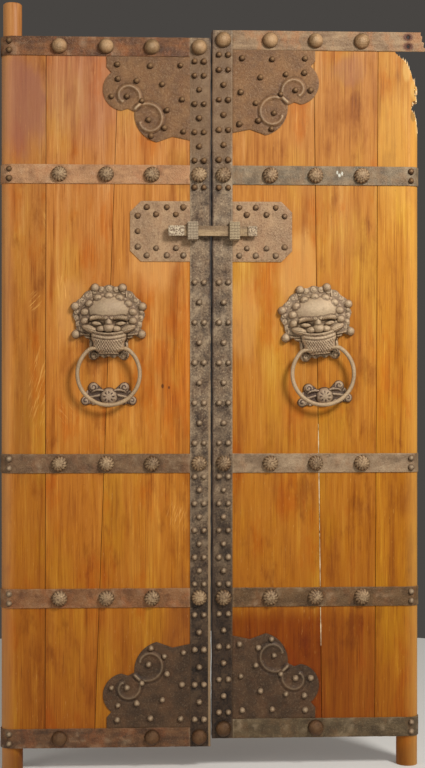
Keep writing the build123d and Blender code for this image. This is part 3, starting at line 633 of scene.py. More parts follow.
purple = srgb(150, 98, 84)
dark_stain = srgb(112, 66, 34)
fresh_wood = srgb(238, 208, 168)
light_patch = srgb(222, 168, 96)
painted_hollow_shade = (0.03, 0.014, 0.006, 1.0)
boards = {
    "left_pivot_stile": dict(
        seed=11, tint=(0.79, 0.735, 0.66), painted_edge_highlight=(0.016, -0.028),
        stains_and_hollow_shade=(
            (0.02, 1.86, 0.09, 0.16, purple, 0.9), (0.03, 1.0, 0.03, 0.2, dark_stain, 0.35),
            (0.0, 0.0, 0.08, 0.06, dark_stain, 0.6),
        ),
        scratched=(
            (0.085, 1.06, 0.04, 0.13, -0.3, 0.55), (0.065, 1.3, 0.018, 0.03, -0.8, 0.7),
            (0.11, 1.53, 0.025, 0.06, 0.5, 0.8),
        ),
    ),
    "left_middle_board": dict(
        seed=23, tint=(0.86, 0.795, 0.84),
        stains_and_hollow_shade=((0.21, 1.9, 0.14, 0.16, purple, 0.35), (0.17, 1.28, 0.05, 0.1, light_patch, 0.4)),
        scratched=((0.145, 1.335, 0.025, 0.04, 0.1, 0.7), (0.15, 0.99, 0.02, 0.03, 0.7, 0.6)),
    ),
    "left_inner_board": dict(
        seed=37, tint=(0.90, 0.865, 0.93),
        stains_and_hollow_shade=((0.4, 1.42, 0.08, 0.1, light_patch, 0.5), (0.47, 0.35, 0.06, 0.2, dark_stain, 0.35)),
        knots=((0.418, 1.066, 0.0042), (0.436, 1.062, 0.003)),
        scratched=((0.46, 0.7, 0.03, 0.04, -0.3, 0.5),),
    ),
    "right_inner_board": dict(
        seed=41, tint=(0.85, 0.83, 0.76), red_foot=1.0,
        stains_and_hollow_shade=((0.8, 1.38, 0.06, 0.14, light_patch, 0.6), (0.64, 1.25, 0.05, 0.12, light_patch, 0.4)),
    ),
    "right_middle_board": dict(
        seed=53, tint=(0.825, 0.785, 0.61), red_foot=0.6,
        stains_and_hollow_shade=((0.94, 1.95, 0.05, 0.05, purple, 0.55), (0.93, 1.5, 0.05, 0.1, purple, 0.15)),
    ),
    "right_pivot_stile": dict(
        seed=67, tint=(0.875, 0.87, 0.49), painted_edge_highlight=(1.09, 1.136),
        stains_and_hollow_shade=(
            (1.128, 0.0, 0.08, 0.07, dark_stain, 0.6), (1.06, 1.72, 0.05, 0.2, light_patch, 0.4),
            (1.103, 1.949, 0.012, 0.03, fresh_wood, 0.3), (1.123, 1.898, 0.010, 0.03, fresh_wood, 0.35),
            (1.130, 1.850, 0.009, 0.03, fresh_wood, 0.35), (1.134, 1.798, 0.007, 0.04, fresh_wood, 0.4),
            # near-black painted shade in a hollow of the torn corner
            (1.123, 1.826, 0.009, 0.018, painted_hollow_shade, 1.2),
        ),
    ),
}
for node, look in boards.items():
    keep(node, wood(f"{node}_wood", **look), WOOD, bevel=0.0022)
batten_wood = wood("batten_wood", 71, tint=(0.8, 0.78, 0.76))
for leaf in OUTWARD:
    for number in range(1, 6):
        keep(f"{leaf}_batten_{number}", batten_wood, WOOD, bevel=0.003)


# The torn corner of the right leaf: pale splinters that stand up along the break

def splinters(name, node, seed):
    """Thin wedges of torn wood along the ragged edge of a board, lying with the grain."""
    rng = random.Random(seed)
    points, faces = welded(node)
    points = [Vector(p) for p in points]
    top, outer = max(p.z for p in points), max(p.x for p in points)
    under_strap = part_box("right_strap_1")[0].z - 0.006
    break_depth = 0.31
    kinds = []
    for face in faces:
        normal = (points[face[1]] - points[face[0]]).cross(points[face[2]] - points[face[0]]).normalized()
        centre = sum((points[i] for i in face), Vector()) / len(face)
        broken = abs(normal.y) < 0.15 and top - break_depth < centre.z < top - 0.004
        broken = broken and centre.x < outer - 0.001
        kinds.append("broken" if broken else "front" if normal.y < -0.15 else "other")
    vertices, made = [], []
    for pair, users in edge_users(faces).items():
        if sorted(kinds[number] for number, _ in users) != ["broken", "front"]:
            continue
        a, b = (points[i] for i in pair)
        for k in range(max(1, int((b - a).length / 0.003))):
            at = a.lerp(b, rng.random())
            if at.z > under_strap:
                continue
            long = min(rng.uniform(0.004, 0.015), under_strap + 0.004 - at.z)
            wide, deep = rng.uniform(0.0012, 0.003), rng.uniform(0.002, 0.009)
            y = min(at.y + rng.uniform(-0.0004, 0.012), board_back - deep)
            lean = rng.uniform(-0.0015, 0.0025)
            first = len(vertices)
            foot = at.z - rng.uniform(0.004, 0.012)
            corners = ((-wide, 0), (wide, 0), (wide, deep), (-wide, deep))
            vertices += [(at.x + dx, y + dy, foot) for dx, dy in corners]
            vertices.append((at.x + lean, y + deep * 0.4, at.z + long))
            wedge = ((0, 1, 2, 3), (0, 1, 4), (1, 2, 4), (2, 3, 4), (3, 0, 4))
            made += [[first + n for n in face] for face in wedge]
    return piece(name, vertices, made, None, crease=20.0)


def joint_filler(name, node, parts, seed):
    """Pale filler squeezed out of the joint along a board's inner side, between the heights given."""
    points, _ = welded(node)
    front = min(p[1] for p in points)
    ahead = [p for p in points if p[1] < front + 1e-5]
    foot = min(ahead, key=lambda p: (round(p[2], 3), p[0]))
    head = min(ahead, key=lambda p: (-round(p[2], 3), p[0]))
    vertices, made = [], []
    for low_z, high_z in parts:
        levels = np.linspace(low_z, high_z, round((high_z - low_z) / 0.004))
        swell = 0.0006 + 0.0006 * rough(levels, levels * 0, 0.03, seed)
        swell = swell + 0.0004 * rough(levels, levels, 0.007, seed)
        first = len(vertices)
        for z, half in zip(levels, np.clip(swell, 0.0001, 0.0015)):
            x = foot[0] + (head[0] - foot[0]) * (z - foot[2]) / (head[2] - foot[2])
            section = ((-half, -0.0004), (half, -0.0004), (half, 0.003), (-half, 0.003))
            vertices += [(x + dx, front + dy, z) for dx, dy in section]
        made += band_faces(first, 4, len(levels)) + cap_faces(first, len(vertices), 4)
    return piece(name, vertices, made, None, crease=30.0)


g = Graph("torn_wood")
fibres = g.noise((300, 300, 22), 3, detail=4)
g.surface(g.mix(g.between(fibres, 0.4, 0.65), srgb(232, 204, 150), srgb(178, 122, 62)), 0.75)
g.bump(fibres, 0.001)
paint(splinters("right_stile_splinters", "right_pivot_stile", 9), g.material)

strap_low, strap_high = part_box("right_strap_4")
filled = ((0.34, strap_low.z - 0.002), (strap_high.z + 0.002, 0.96))
filler = joint_filler("right_joint_filler", "right_middle_board", filled, 5)
g = Graph("filler")
g.surface(srgb(214, 190, 150), 0.8)
paint(filler, g.material)


# Iron: straps, edge plates, corner and lock plates

iron_looks = {
    "left_strap_1": ((122, 78, 42), (84, 52, 28), (136, 78, 36)),
    "left_strap_2": ((178, 132, 90), (152, 108, 70), (162, 106, 66)),
    "left_strap_3": ((122, 92, 62), (102, 74, 48), (126, 84, 52)),
    "left_strap_4": ((140, 95, 56), (118, 76, 42), (146, 88, 46)),
    "left_strap_5": ((112, 76, 46), (78, 52, 32), (128, 74, 38)),
    "right_strap_1": ((150, 122, 90), (110, 82, 54), (152, 98, 54)),
    "right_strap_2": ((134, 112, 85), (104, 90, 70), (130, 98, 66)),
    "right_strap_3": ((154, 128, 98), (134, 108, 80), (148, 110, 76)),
    "right_strap_4": ((112, 82, 50), (90, 64, 36), (120, 78, 42)),
    "right_strap_5": ((98, 80, 54), (78, 62, 40), (106, 76, 46)),
}
outer_radius = -iron_front  # of the iron round the outer edge, whose centre line is the pivots' axis
wrap_turn, wrap_steps = math.radians(105), 12
torn_end_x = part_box("right_strap_1")[1].x - 0.017
hole_inset = 0.031  # of the torn strap's nail holes, from the leaf's outer edge


def bent_strap(node, leaf, seed):
    """A strap from the edge plate to the outer edge, and round it."""
    side = OUTWARD[leaf]
    low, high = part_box(node)
    inner_x = low.x if leaf == "right" else high.x
    axis_x = (high.x if leaf == "right" else low.x) - side * outer_radius
    path = [(inner_x, iron_front), (axis_x, iron_front)]
    for k in range(1, wrap_steps + 1):
        turn = wrap_turn * k / wrap_steps
        path.append((axis_x + side * outer_radius * math.sin(turn), -outer_radius * math.cos(turn)))
    return bent_sheet(f"{node}_forged", node, path, low.z, high.z, seed)


def torn_strap(node):
    """The loose strap: its end is rusted through in steps, with two ragged nail holes."""
    low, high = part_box(node)
    tall = high.z - low.z
    steps = (
        (0.0, 0.0), (0.004, 0.16), (-0.003, 0.22), (-0.001, 0.46), (-0.008, 0.52), (-0.006, 0.78),
        (-0.011, 0.84), (-0.010, 1.0),
    )
    torn_end = [(torn_end_x + dx, low.z + share * tall) for dx, share in steps]
    hole_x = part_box("right_pivot_stile")[1].x - hole_inset
    holes = [low.z + share * tall for share in (0.26, 0.74)]

    def height(x, z):
        h = hammered(x, z, (0.0005, 0.03, 12), (0.0002, 0.01, 13))
        for hole_z in holes:
            d = np.hypot(x - hole_x, z - hole_z) + 0.0012 * rough(x, z, 0.004, 14)
            h = h - 0.0028 * (1 - ease(d, 0.0048, 0.0062))
        return h

    outline = [(low.x, low.z), *torn_end, (low.x, high.z)]
    strap = relief(f"{node}_torn", node, outline, height, step=0.0022, rim_width=0.002)
    # rust halos round the nail holes, then near-black painted shade inside each hole's shallow dip
    rusty = [(hole_x, hole_z, 0.016, 0.013, (78, 40, 24), 0.9) for hole_z in holes]
    return strap, rusty + [(hole_x, hole_z, 0.0052, 0.0056, (26, 18, 14), 0.95) for hole_z in holes]


for leaf, side in OUTWARD.items():
    for number in range(1, 6):
        node = f"{leaf}_strap_{number}"
        light, dark, rust = iron_looks[node]
        marks_and_painted_shade = []
        if number == 1 and leaf == "right":
            strap, marks_and_painted_shade = torn_strap(node)
        else:
            strap = bent_strap(node, leaf, number + 5 * side)
        if node == "right_strap_2":
            middle_z = sum(end.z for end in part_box(node)) / 2
            splashes = ((0.907, 0.009, 0.003), (0.913, 0.001, 0.0045), (0.9205, 0.006, 0.003))
            marks_and_painted_shade = [(x, middle_z + rise, size, 0.006, (204, 200, 182), 0.8) for x, rise, size in splashes]
        paint(strap, iron(
            f"{node}_iron", light, dark, rust, number * 3 + side, rust_share=0.55, pitted=0.22, grime_and_shade=0.35,
            clouding=(13, 13, 42), marks_and_painted_shade=marks_and_painted_shade, pale_top=0.3,
        ))

    node = f"{leaf}_edge_plate"
    far_x = meeting_x[leaf] + side * (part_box(node)[1].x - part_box(node)[0].x)
    bend, into_gap = 0.0018, 0.0019  # the fold's radius, and how far it stands out between the leaves
    edge_x = meeting_x[leaf] - side * into_gap
    corner = [
        (edge_x + side * bend * (1 - math.sin(t)), iron_front + bend * (1 - math.cos(t)))
        for t in np.linspace(0, math.pi / 2, 4)
    ]
    path = [(far_x, iron_front), *corner, (edge_x, board_back)]
    plate = bent_sheet(f"{node}_forged", node, path, leaf_low[leaf], leaf_high[leaf], 31 + side, dents=0.0007)
    # a dark line of painted shade down the meeting edge, where the gap between the leaves is, and on the left
    # leaf paler iron below
    if leaf == "left":
        gap_shade_and_pale_strip = [
            (meeting_x[leaf], 1.75, 0.0022, 0.75, (58, 42, 32), 0.85),
            (meeting_x[leaf] - 0.0015, 0.5, 0.0045, 0.7, (150, 122, 88), 0.8),
        ]
    else:
        gap_shade_and_pale_strip = [(meeting_x[leaf], 1.0, 0.0022, 4.0, (58, 42, 32), 0.85)]
    paint(plate, iron(
        f"{node}_iron", (134, 111, 85), (88, 71, 54), (114, 82, 54), 44 + side, rust_share=0.35, pitted=0.75,
        foot_shade=(1.15 if leaf == "right" else 1.0, 0.30, (134, 120, 106)), clouding=(34, 34, 21),
        marks_and_painted_shade=gap_shade_and_pale_strip + [(meeting_x[leaf] + side * 0.028, 1.86, 0.05, 0.22, (112, 82, 52), 0.7)],
    ))

curl_ridges = (
    # centre, start and end radius in millimetres from the leaf's meeting corner, start and end angle
    (231.0, 166.0, 17.0, 41.0, math.radians(60), math.radians(-242)),
    (171.0, 230.0, 48.0, 24.0, math.radians(-34), math.radians(-350)),
)
ridge_rise, ridge_width = 0.0034, 5.2
groove_depth, groove_width, groove_out = 0.0014, 3.0, 9


def corner_height(leaf, at_top):
    """Heights over a corner plate: gentle waves, a curl on each lobe and a beaten edge."""
    def height(x, z):
        p = OUTWARD[leaf] * (x - meeting_x[leaf]) / MM
        q = ((leaf_high[leaf] - z) if at_top else (z - leaf_low[leaf])) / MM
        h = hammered(x, z, (0.0004, 0.03, 5 + at_top), (0.0002, 0.011, 9))
        for cp, cq, start, end, *turns in curl_ridges:
            h = h + ridge_rise * ridge_along(p, q, cp, cq, start, end, *turns, ridge_width)
            start, end = start + groove_out, end + groove_out
            h = h - groove_depth * ridge_along(p, q, cp, cq, start, end, *turns, groove_width)
        return h
    return height


corner_looks = {
    # light, dark and rust tones, seed, share of rust, pitting, and paleness of the high places
    "top": ((127, 90, 54), (100, 68, 38), (116, 74, 38), 61, 0.4, 0.3, 0.8),
    "bottom": ((86, 60, 36), (62, 43, 25), (92, 56, 28), 67, 0.3, 0.18, 0.5),
}
for leaf, side in OUTWARD.items():
    for place, (*tones, seed, rust_share, pitted, pale_top) in corner_looks.items():
        node = f"{leaf}_{place}_corner_plate"
        heights = corner_height(leaf, place == "top")
        plate = relief(f"{node}_forged", node, back_outline(node), heights, step=0.0032)
        seed += side
        paint(plate, iron(f"{node}_iron", *tones, seed, rust_share, pitted, pale_top=pale_top))
    node = f"{leaf}_lock_plate"
    plate = relief(
        f"{node}_forged", node, back_outline(node),
        lambda x, z: hammered(x, z, (0.0005, 0.034, 3), (0.0002, 0.012, 4)), step=0.005,
    )
    tones = ((168, 134, 98), (142, 111, 80), (144, 100, 66))
    paint(plate, iron(f"{node}_iron", *tones, 71 + side, 0.35, 0.4))


# Nail heads and studs

nail_radius, nail_rise = 0.0089, 0.0088
stud_radius, stud_rise = 0.0225, 0.0185


def nail_profile(seed, tallest):
    """Round heads, none alike, forged a little three-sided, with a painted highlight on the crown and upper
    right and painted shade low on the lower left.
    """
    rng = random.Random(seed)
    looks = [(rng.uniform(0.9, 1.06), rng.uniform(0.85, 1.15), rng.uniform(0, 6.28)) for _ in range(80)]

    def profile(t, turn, k):
        size, tall, spin = looks[k % len(looks)]
        facet = 1 + 0.05 * math.cos(3 * (turn + spin))
        lean = t * math.pi / 2
        # painted highlight towards the crown and on the upper right side, painted shade low on the lower left
        head_wear_and_shade = 0.14 + 0.82 * t + 0.32 * math.sin(turn + 0.5) * (1 - t)
        radius = nail_radius * size * facet * math.cos(lean)
        return radius, min(nail_rise * tall, tallest) * math.sin(lean) ** 0.9, max(head_wear_and_shade, 0.0)
    return profile


def stud_profile(seed, embossed):
    """Large domed studs, plain or with thirteen petals and a ring."""
    rng = random.Random(seed)
    looks = [(rng.uniform(0.94, 1.0), rng.uniform(0, 6.28)) for _ in range(40)]

    def profile(t, turn, k):
        size, spin = looks[k % len(looks)]
        lean = t * math.pi / 2
        radius, h = stud_radius * size * math.cos(lean) ** 0.95, stud_rise * math.sin(lean) ** 0.9
        head_wear_and_shade = 0.1 + 0.75 * t
        if embossed:
            lobes = math.cos(13 * (turn + spin) + 5 * t)
            band = math.sin(math.pi * min(t * 1.15, 1.0)) ** 0.7
            h *= 1 + 0.05 * lobes * band
            radius *= 1 + 0.012 * lobes * (1 - t)
            h += 0.0007 * math.exp(-(((t - 0.72) / 0.07) ** 2))
            h -= 0.0008 * math.exp(-(((t - 0.58) / 0.06) ** 2))
            head_wear_and_shade = 0.25 + 0.3 * lobes * band + 0.45 * t
        return radius, h, min(max(head_wear_and_shade, 0.0), 1.0)
    return profile


def head_places(node):
    """Where each head of a node sits: the middle of its solid, just inside the iron's face."""
    return [((a.x + b.x) / 2, (a.z + b.z) / 2, iron_front + 0.0004) for a, b in islands(node)]


nail_look = iron(
    "nail_iron", (138, 114, 88), (104, 82, 60), (118, 82, 54), 81, 0.3, 0.4, (1.3, 1.6, (200, 178, 148)),
    shine=0.3, pale_top=0.7, grime_and_shade=0.8,
)
stud_look = iron(
    "stud_iron", (170, 134, 94), (128, 98, 64), (146, 98, 58), 83, 0.35, 0.3, (0.5, 0.1, (160, 144, 128)),
    shine=0.3,
)
embossed_look = iron(
    "embossed_iron", (164, 134, 98), (118, 92, 64), (134, 94, 60), 87, 0.3, 1.0, grime_and_shade=0.9, shine=0.25,
    pale_top=0.8,
)
for leaf in OUTWARD:
    for group in ("edge_plate_nails", "corner_plate_nails", "lock_plate_nails", "strap_end_nails"):
        node = f"{leaf}_{group}"
        places = head_places(node)
        tallest = iron_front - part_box(node)[0].y
        if group != "lock_plate_nails":  # where no bolt passes over them, the heads may stand higher
            tallest += 0.003
        profile = nail_profile(len(node) + len(places), tallest)
        paint(heads(f"{node}_forged", node, places, sides=12, rings=5, profile=profile), nail_look)
    for group, sides, rings, look in (
        ("plain_studs", 24, 8, stud_look), ("embossed_studs", 42, 14, embossed_look),
    ):
        node = f"{leaf}_{group}"
        profile = stud_profile(len(node), look is embossed_look)
        paint(heads(f"{node}_forged", node, head_places(node), sides, rings, profile), look)


# Lock

def ribbed_iron(name, pale, groove, seed):
    """Pale forged iron with fine cross ribs."""
    g = Graph(name)
    pitch = 0.0042
    rows, columns = (g.math("SINE", g.times(along, 2 * math.pi / pitch)) for along in (g.z, g.x))
    ribs = g.plus(rows, g.times(columns, 0.6))
    specks = g.noise((330, 330, 330), seed, detail=4, roughness=0.7)
    shade = g.plus(g.times(ribs, 0.24), specks)
    g.surface(g.mix(g.between(shade, 0.3, 0.62), srgb(*groove), srgb(*pale)), 0.6, 0.1)
    g.bump(g.plus(g.times(ribs, 0.6), specks), 0.0012)
    return g.material


def bar_iron(name, head_x, end_x):
    """Smooth brown iron, blotched white on the head and ribbed at the far end, by place along the bar."""
    g = Graph(name)
    drift = g.noise((26, 60, 60), 5, detail=4, roughness=0.6)
    specks = g.noise((170, 170, 170), 6, detail=4, roughness=0.7)
    brown = g.mix(g.between(drift, 0.35, 0.65), srgb(116, 90, 60), srgb(158, 130, 92))
    blotched = g.mix(g.between(specks, 0.42, 0.58), srgb(114, 90, 66), srgb(192, 172, 140))
    ribbed = g.mix(g.between(specks, 0.4, 0.6), srgb(104, 84, 62), srgb(184, 158, 124))
    colour = g.mix(g.between(g.x, head_x + 0.003, head_x - 0.001), brown, blotched)
    g.surface(g.mix(g.between(g.x, end_x - 0.001, end_x + 0.002), colour, ribbed), 0.55, 0.12)
    g.bump(specks, 0.002)
    return g.material


bar_low, bar_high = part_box("bolt_bar")
lock_looks = {
    "bolt_bar": bar_iron("bar_iron", head_x=bar_low.x + 0.043, end_x=bar_high.x - 0.025),
    "left_keeper": ribbed_iron("left_keeper_iron", (184, 163, 133), (112, 90, 68), 7),
    "right_keeper": ribbed_iron("right_keeper_iron", (188, 165, 128), (114, 92, 66), 8),
}
for node, look in lock_looks.items():
    keep(node, look, IRON, bevel=0.0016, segments=3)


# Lion knockers. Heights are worked out in millimetres about the ring's centre, x to the right and y up.

hinges = {
    joint["child"]: (Vector(joint["pos_m"]), -Vector(joint["axis"]))
    for joint in frame["joints"] if joint["type"] == "hinge"
}
ring_radius = 86.0
ring_thickness = 11.6
hinge_half = 49.75
hinge_rise = math.sqrt(ring_radius**2 - hinge_half**2)
hinge_off = 30.0


def knocker_place(leaf):
    """Turns knocker millimetres into points of the frame."""
    hinge, along = hinges[f"{leaf}_ring"]
    up = Vector((-along.z, 0, along.x))
    centre = hinge - up * hinge_rise * MM

    def place(x, y, h):
        wx = centre.x + (x * along.x + y * up.x) * MM
        wz = centre.z + (x * along.z + y * up.z) * MM
        return np.stack([wx, wood_front - np.asarray(h) * MM, wz], axis=-1)
    return place


def star_outline(inside, cx, cy, reach, count):
    """An outline seen whole from one centre: the furthest point inside along each direction."""
    loop = []
    steps = np.linspace(reach, 1.0, 400)
    for k in range(count):
        turn = 2 * math.pi * k / count
        hits = inside(cx + steps * math.cos(turn), cy + steps * math.sin(turn))
        far = steps[np.argmax(hits)]
        loop.append((cx + far * math.cos(turn), cy + far * math.sin(turn)))
    return loop


def disc(x, y, cx, cy, r):
    return np.hypot(x - cx, y - cy) < r


knobs = ((38.0, 239.0), (93.0, 187.0), (91.0, 110.0))  # the mane's six large curls, mirrored
beard_curls = (41.0, 51.0)


def mask_inside(x, y):
    a = np.abs(x)
    turn = np.arctan2(y - 164, x)
    scallop = 1 + 0.022 * np.cos(16 * turn)
    found = (x / 98) ** 2 + ((y - 164) / 82) ** 2 < scallop**2
    for kx, ky in knobs:
        found |= disc(a, y, kx, ky, 12.5)
    found |= (a < 54) & (y > 46 + 2.5 * np.cos(x / 4.0)) & (y < 110)
    found |= disc(a, y, 42, 53, 15)
    return found


def curl_knob(x, y, cx, cy, r, base, top, spin):
    """A round curl with a spiral groove that is turned by spin."""
    d = np.hypot(x - cx, y - cy)
    turn = np.arctan2(y - cy, x - cx)
    h = dome(x, y, cx, cy, r, r, base, top, 0.6)
    groove = 0.5 + 0.5 * np.cos(turn - d / r * 7.5 + spin)
    return np.where(d < r, h - (top - base) * 0.3 * groove * np.sin(np.clip(d / r, 0, 1) * math.pi), h)


def mask_height(x, y):
    a = np.abs(x)
    h = np.full(x.shape, 6.5) + 0.5 * rough(x, y, 6.0, 2)
    # the mane: a flat rim of low curls with six bead-like knobs, then a ring of rounded leaves over the head
    for k in range(26):
        turn = 2 * math.pi * (k + 0.5) / 26
        cx, cy = 89 * math.cos(turn), 164 + 73 * math.sin(turn)
        if cy > 96:
            h = smooth_max(h, curl_knob(x, y, cx, cy, 9.0, 6.0, 11.5, k), 2.5)
    for kx, ky in knobs:
        h = smooth_max(h, dome(a, y, kx, ky, 11.0, 11.0, 6.5, 20.0, 0.6), 2.0)
    h = smooth_max(h, dome(x, y, 0, 158, 82, 66, 6.0, 24.0, 0.42), 3.0)
    for k in range(9):
        turn = math.radians(-14 + 26 * k)
        cx, cy = 67 * math.cos(turn), 160 + 55 * math.sin(turn)
        leaf = dome(x, y, cx, cy, 11.5, 10.0, 15.0, 28.0, 0.55)
        leaf -= 2.0 * np.exp(-((x - cx * 0.95) ** 2 + (y - cy + 3) ** 2) / 18)
        h = smooth_max(h, leaf, 1.8)
    # a large smooth forehead, feathered brows with a curl each, and the crease under them
    h = smooth_max(h, dome(x, y, 0, 177, 58, 38, 17.0, 43.0, 0.7), 4.0)
    brow_line = y - 156.5 + 0.007 * (a - 26) ** 2
    feathers = 1.3 * np.cos(a * 1.25 + y * 0.7)
    brow = 37.0 - 1.0 * (brow_line / 2.6) ** 2 + feathers
    h = np.where((np.abs(brow_line) < 6) & (a > 8) & (a < 52), smooth_max(h, brow, 2.5), h)
    h = smooth_max(h, curl_knob(a, y, 6.5, 155, 7.0, 32.0, 44.0, 2.0), 1.5)
    crease = fade((y - 148.5 + 0.004 * (a - 28) ** 2) / 2.2)
    h = h - 5.0 * crease * ease(60 - a, 0, 10) * ease(a, 8, 14)
    # eyes, cheeks and nose
    h = h - 3.0 * fade((a - 33) / 18, (y - 138.5) / 6.5)
    h = smooth_max(h, dome(a, y - 0.12 * (a - 33), 33, 139.0, 14, 6.0, 22.0, 34.0, 0.55), 1.5)
    h = h - 2.0 * fade((a - 33) / 6.0, (y - 138.0 - 0.12 * (a - 33)) / 1.6)
    cheek = dome(a, y - 0.32 * (a - 50), 50, 124, 23, 10.5, 18.0, 37.0, 0.6)
    h = smooth_max(h, cheek - 1.2 * np.cos(y * 1.3 - a * 0.4), 3.0)
    for cx, cy, rx, ry, top, blend in (
        (0, 142, 10, 20, 43.0, 4.0), (20, 123.5, 13.5, 10.0, 45.0, 2.0), (0, 126, 17.5, 13.5, 52.0, 2.0),
    ):  # the bridge, the wings and the tip
        h = smooth_max(h, dome(a, y, cx, cy, rx, ry, 26.0, top, 0.6), blend)
    h = h - 3.0 * fade((a - 12) / 3.2, (y - 115.0) / 2.2)
    # whiskers that sweep out from the mouth's corners, and the hollow above each ring pin
    for rise in (0, 1, 2):
        line = 108 - 7 * rise + 0.0035 * (a - 40) ** 2 - 0.05 * (a - 40)
        rib = ease(a, 46, 54) * (1 - ease(a, 74 - 5 * rise, 84 - 5 * rise))
        h = smooth_max(h, np.where(rib > 0.02, 9 + 9 * rib * fade((y - line) / 3.2), -1.0), 2.0)
    h = h - 6.0 * fade((a - 58) / 8, (y - 90) / 6)
    # the jaw that carries the ring: a rounded bowl, widest at the cheeks, beaded below a row of teeth
    lip = 107.0 + 0.0040 * x**2
    half = 29 + 13.5 * ease(y, 58, 69) + 6 * ease(y, 84, 100)
    bowl = 12.0 + 33.0 * np.clip(1 - (a / half) ** 2.4, 0, 1) ** 0.42 - 9.0 * ease(y, 72, 56) ** 1.5
    row = np.floor((y - 0.006 * x**2) / 5.5)
    beads = 1.9 * np.cos(x * 0.9 + math.pi * row) * np.abs(np.sin((y - 0.006 * x**2) / 5.5 * math.pi))
    beads *= ease(a / half, 0.98, 0.8)
    teeth = np.abs(np.cos(x / 7.0 * math.pi))
    teeth = teeth * ease(y, lip - 12, lip - 10) * (1 - ease(y, lip - 4, lip - 2))
    lines = 3.0 * fade((y - lip + 13) / 1.6) + 4.0 * fade((y - lip + 2.5) / 1.8)
    bowl = bowl + beads * (1 - ease(y, lip - 17, lip - 14)) + teeth - lines
    jaw = (a < half) & (y > 56) & (y < lip)
    h = np.where(jaw, np.maximum(h, bowl), h)
    upper_lip = 43.0 - 0.006 * x**2 - 0.35 * (y - lip - 3.0) ** 2
    h = np.where((a < 48) & (y >= lip - 1) & (y < lip + 7), smooth_max(h, upper_lip, 1.5), h)
    clear = (a > 42.4) & (a < 58) & (y > 60) & (y < 80)
    h = np.where(clear, np.minimum(h, 20.0), h)
    # beard: a thin plate with a curl at each end
    beard = (y < 60) & (a < 60)
    rib = 12.0 + 1.2 * np.cos(x / 2.6) * ease(54 - y, -4, 6)
    h = np.where(beard, np.maximum(h, rib - 2.0 * ease(a, 28, 34) * (1 - ease(a, 48, 54))), h)
    h = smooth_max(h, curl_knob(a, y, *beard_curls, 10.5, 9.0, 19.0, 1.0), 0.8)
    return np.maximum(h, 3.0)


def striker_inside(x, y):
    found = disc(x, y, 0, -64, 27)
    for cx, cy, r in ((43, -37, 14.5), (64, -74, 13.5), (30, -50, 14), (52, -56, 13), (40, -72, 14)):
        found |= disc(np.abs(x), y, cx, cy, r)
    return found


def striker_height(x, y):
    a = np.abs(x)
    h = np.full(x.shape, 4.5) + 0.3 * rough(x, y, 6.0, 4)
    h = smooth_max(h, curl_knob(a, y, 43, -37, 13.5, 5.0, 15.0, 0.5), 1.0)
    h = smooth_max(h, curl_knob(a, y, 64, -74, 12.5, 4.5, 11.0, 2.5), 1.0)
    band = fade((y + 53 + 0.012 * (a - 10) ** 2 - 0.45 * a) / 4.5) * ease(52 - a, 0, 10)
    h = smooth_max(h, 5 + 7 * band, 1.0)
    band = fade((y + 62 + 0.2 * (a - 40)) / 4.0) * ease(62 - a, 0, 10)
    h = smooth_max(h, 5 + 5 * band, 1.0)
    d = np.hypot(x, y + 63)
    turn = np.arctan2(y + 63, x)
    boss = 22.6 * np.clip(1 - (d / 24.5) ** 3.2, 0, 1) ** 0.5
    boss = boss - 1.5 * (0.5 + 0.5 * np.cos(turn * 8)) * ease(d, 5, 14)
    h = np.maximum(h, np.where(d < 24.5, boss, -1.0))
    return np.minimum(h, 22.7)


def ring_path(place):
    """The ring's centre line, from pin to pin, in the frame."""
    start = math.atan2(hinge_rise, hinge_half)
    sweep = math.pi + 2 * start
    points = [(-28.0, hinge_rise), (-hinge_half + 8, hinge_rise), (-hinge_half + 6.5, hinge_rise)]
    points.append((-hinge_half + 2.5, hinge_rise - 0.6))
    for k in range(1, 96):
        turn = math.pi - start + sweep * k / 96
        points.append((ring_radius * math.cos(turn), ring_radius * math.sin(turn)))
    points += [(-x, y) for x, y in reversed(points[:4])]
    x, y = np.array(points).T
    return place(x, y, np.full(len(x), hinge_off))


mask_loop = star_outline(mask_inside, 0.0, 150.0, reach=125.0, count=300)
striker_loop = star_outline(striker_inside, 0.0, -60.0, reach=90.0, count=160)
knocker_looks = {
    # light and dark tones of the mask, the striker and the ring
    "left": (
        ((156, 130, 100), (130, 106, 80)), ((134, 108, 84), (98, 76, 62)), ((158, 126, 88), (124, 96, 64)),
    ),
    "right": (
        ((178, 152, 120), (148, 124, 95)), ((150, 126, 96), (112, 90, 72)), ((166, 138, 102), (134, 108, 78)),
    ),
}
for leaf, side in OUTWARD.items():
    place = knocker_place(leaf)
    mask_tones, striker_tones, ring_tones = knocker_looks[leaf]
    look = iron(f"{leaf}_mask_iron", *mask_tones, (128, 92, 76), 95 + side, 0.3, 0.5, grime_and_shade=0.42)
    node = f"{leaf}_lion_mask"
    paint(relief(
        f"{node}_cast", node, mask_loop, mask_height, step=1.6, rim=5.0, rim_width=1.6,
        place=place, recess=4.0,
    ), look)
    look = iron(f"{leaf}_striker_iron", *striker_tones, (118, 84, 78), 90 + side, 0.4, 0.6, grime_and_shade=0.7)
    node = f"{leaf}_striker_plate"
    paint(relief(
        f"{leaf}_striker_cast", node, striker_loop, striker_height, step=1.4, rim=3.5, rim_width=1.4,
        place=place, recess=3.0,
    ), look)
    node = f"{leaf}_knocker_ring"
    radius = ring_thickness / 2 * MM
    ring = tube(f"{leaf}_ring_forged", node, f"{leaf}_ring", ring_path(place), radius, 3 + side)
    paint(ring, iron(f"{leaf}_ring_iron", *ring_tones, (126, 86, 56), 98 + side, 0.3, 0.3, shine=0.2))


# Stage, light and camera

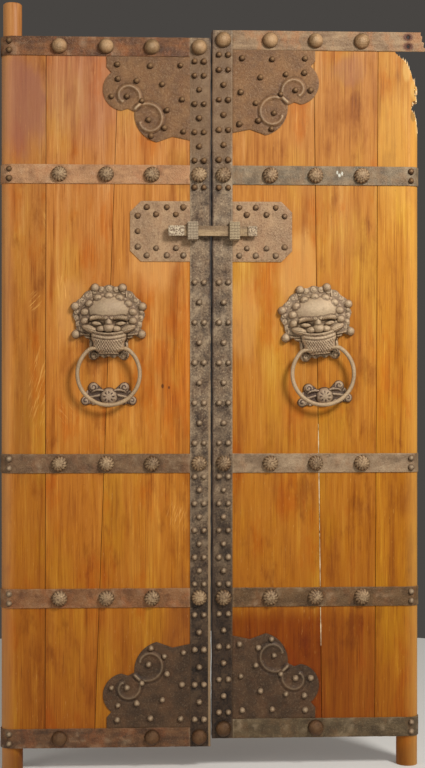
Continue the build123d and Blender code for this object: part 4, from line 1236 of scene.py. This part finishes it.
low, high = cad_box
middle = (low + high) / 2
floor_reach = 2.2
turns = np.linspace(0, 2 * math.pi, 97)[:96]
rim = [(middle.x + floor_reach * math.cos(t), floor_reach * math.sin(t), low.z) for t in turns]
mesh = bpy.data.meshes.new("floor")
mesh.from_pydata(rim, [], [tuple(range(len(rim)))])
floor = placed("floor", mesh)
g = Graph("floor_paint")
g.surface(srgb(212, 208, 200), 0.8)
paint(floor, g.material)


def lamp(name, spot, size, power):
    """A round white lamp that is turned to the middle of the object."""
    light = bpy.data.lights.new(name, "AREA")
    light.shape = "DISK"
    light.size = size
    light.energy = power
    obj = placed(name, light)
    obj.location = spot
    obj.rotation_euler = (middle - Vector(spot)).to_track_quat("-Z", "Y").to_euler()


def studio(backdrop, strength):
    """Even white light from all round, and a plain backdrop for the camera and the reflections."""
    world = bpy.data.worlds.new("studio")
    world.use_nodes = True
    tree = world.node_tree
    seen = add_node(tree, "ShaderNodeBackground", {"Color": backdrop})
    even = tree.nodes["Background"]
    feed(even.inputs["Color"], (1.0, 1.0, 1.0, 1.0))
    feed(even.inputs["Strength"], strength)
    rays = add_node(tree, "ShaderNodeLightPath").outputs
    looks = rays["Is Camera Ray"]
    for ray in ("Is Glossy Ray", "Is Transmission Ray"):
        looks = add_node(tree, "ShaderNodeMath", {0: looks, 1: rays[ray]}, operation="MAXIMUM").outputs[0]
    choice = add_node(tree, "ShaderNodeMixShader", {0: looks, 1: even.outputs[0], 2: seen.outputs[0]})
    feed(tree.nodes["World Output"].inputs["Surface"], choice.outputs[0])
    bpy.context.scene.world = world


lamp("key", (2.4, -2.5, 3.3), size=1.0, power=152)
lamp("fill", (-2.9, -3.0, 1.6), size=2.0, power=44)
studio(srgb(72, 69, 66), strength=0.40)

camera = bpy.data.cameras.new("camera")
camera.lens = 66.8
camera.sensor_width = 36.0
view = placed("camera", camera)
view.location = (0.367, -4.0, 1.068)
view.rotation_euler = (math.pi / 2 + 0.001, 0.0, -0.0479)
bpy.context.scene.camera = view
bpy.context.scene.view_settings.view_transform = "Standard"
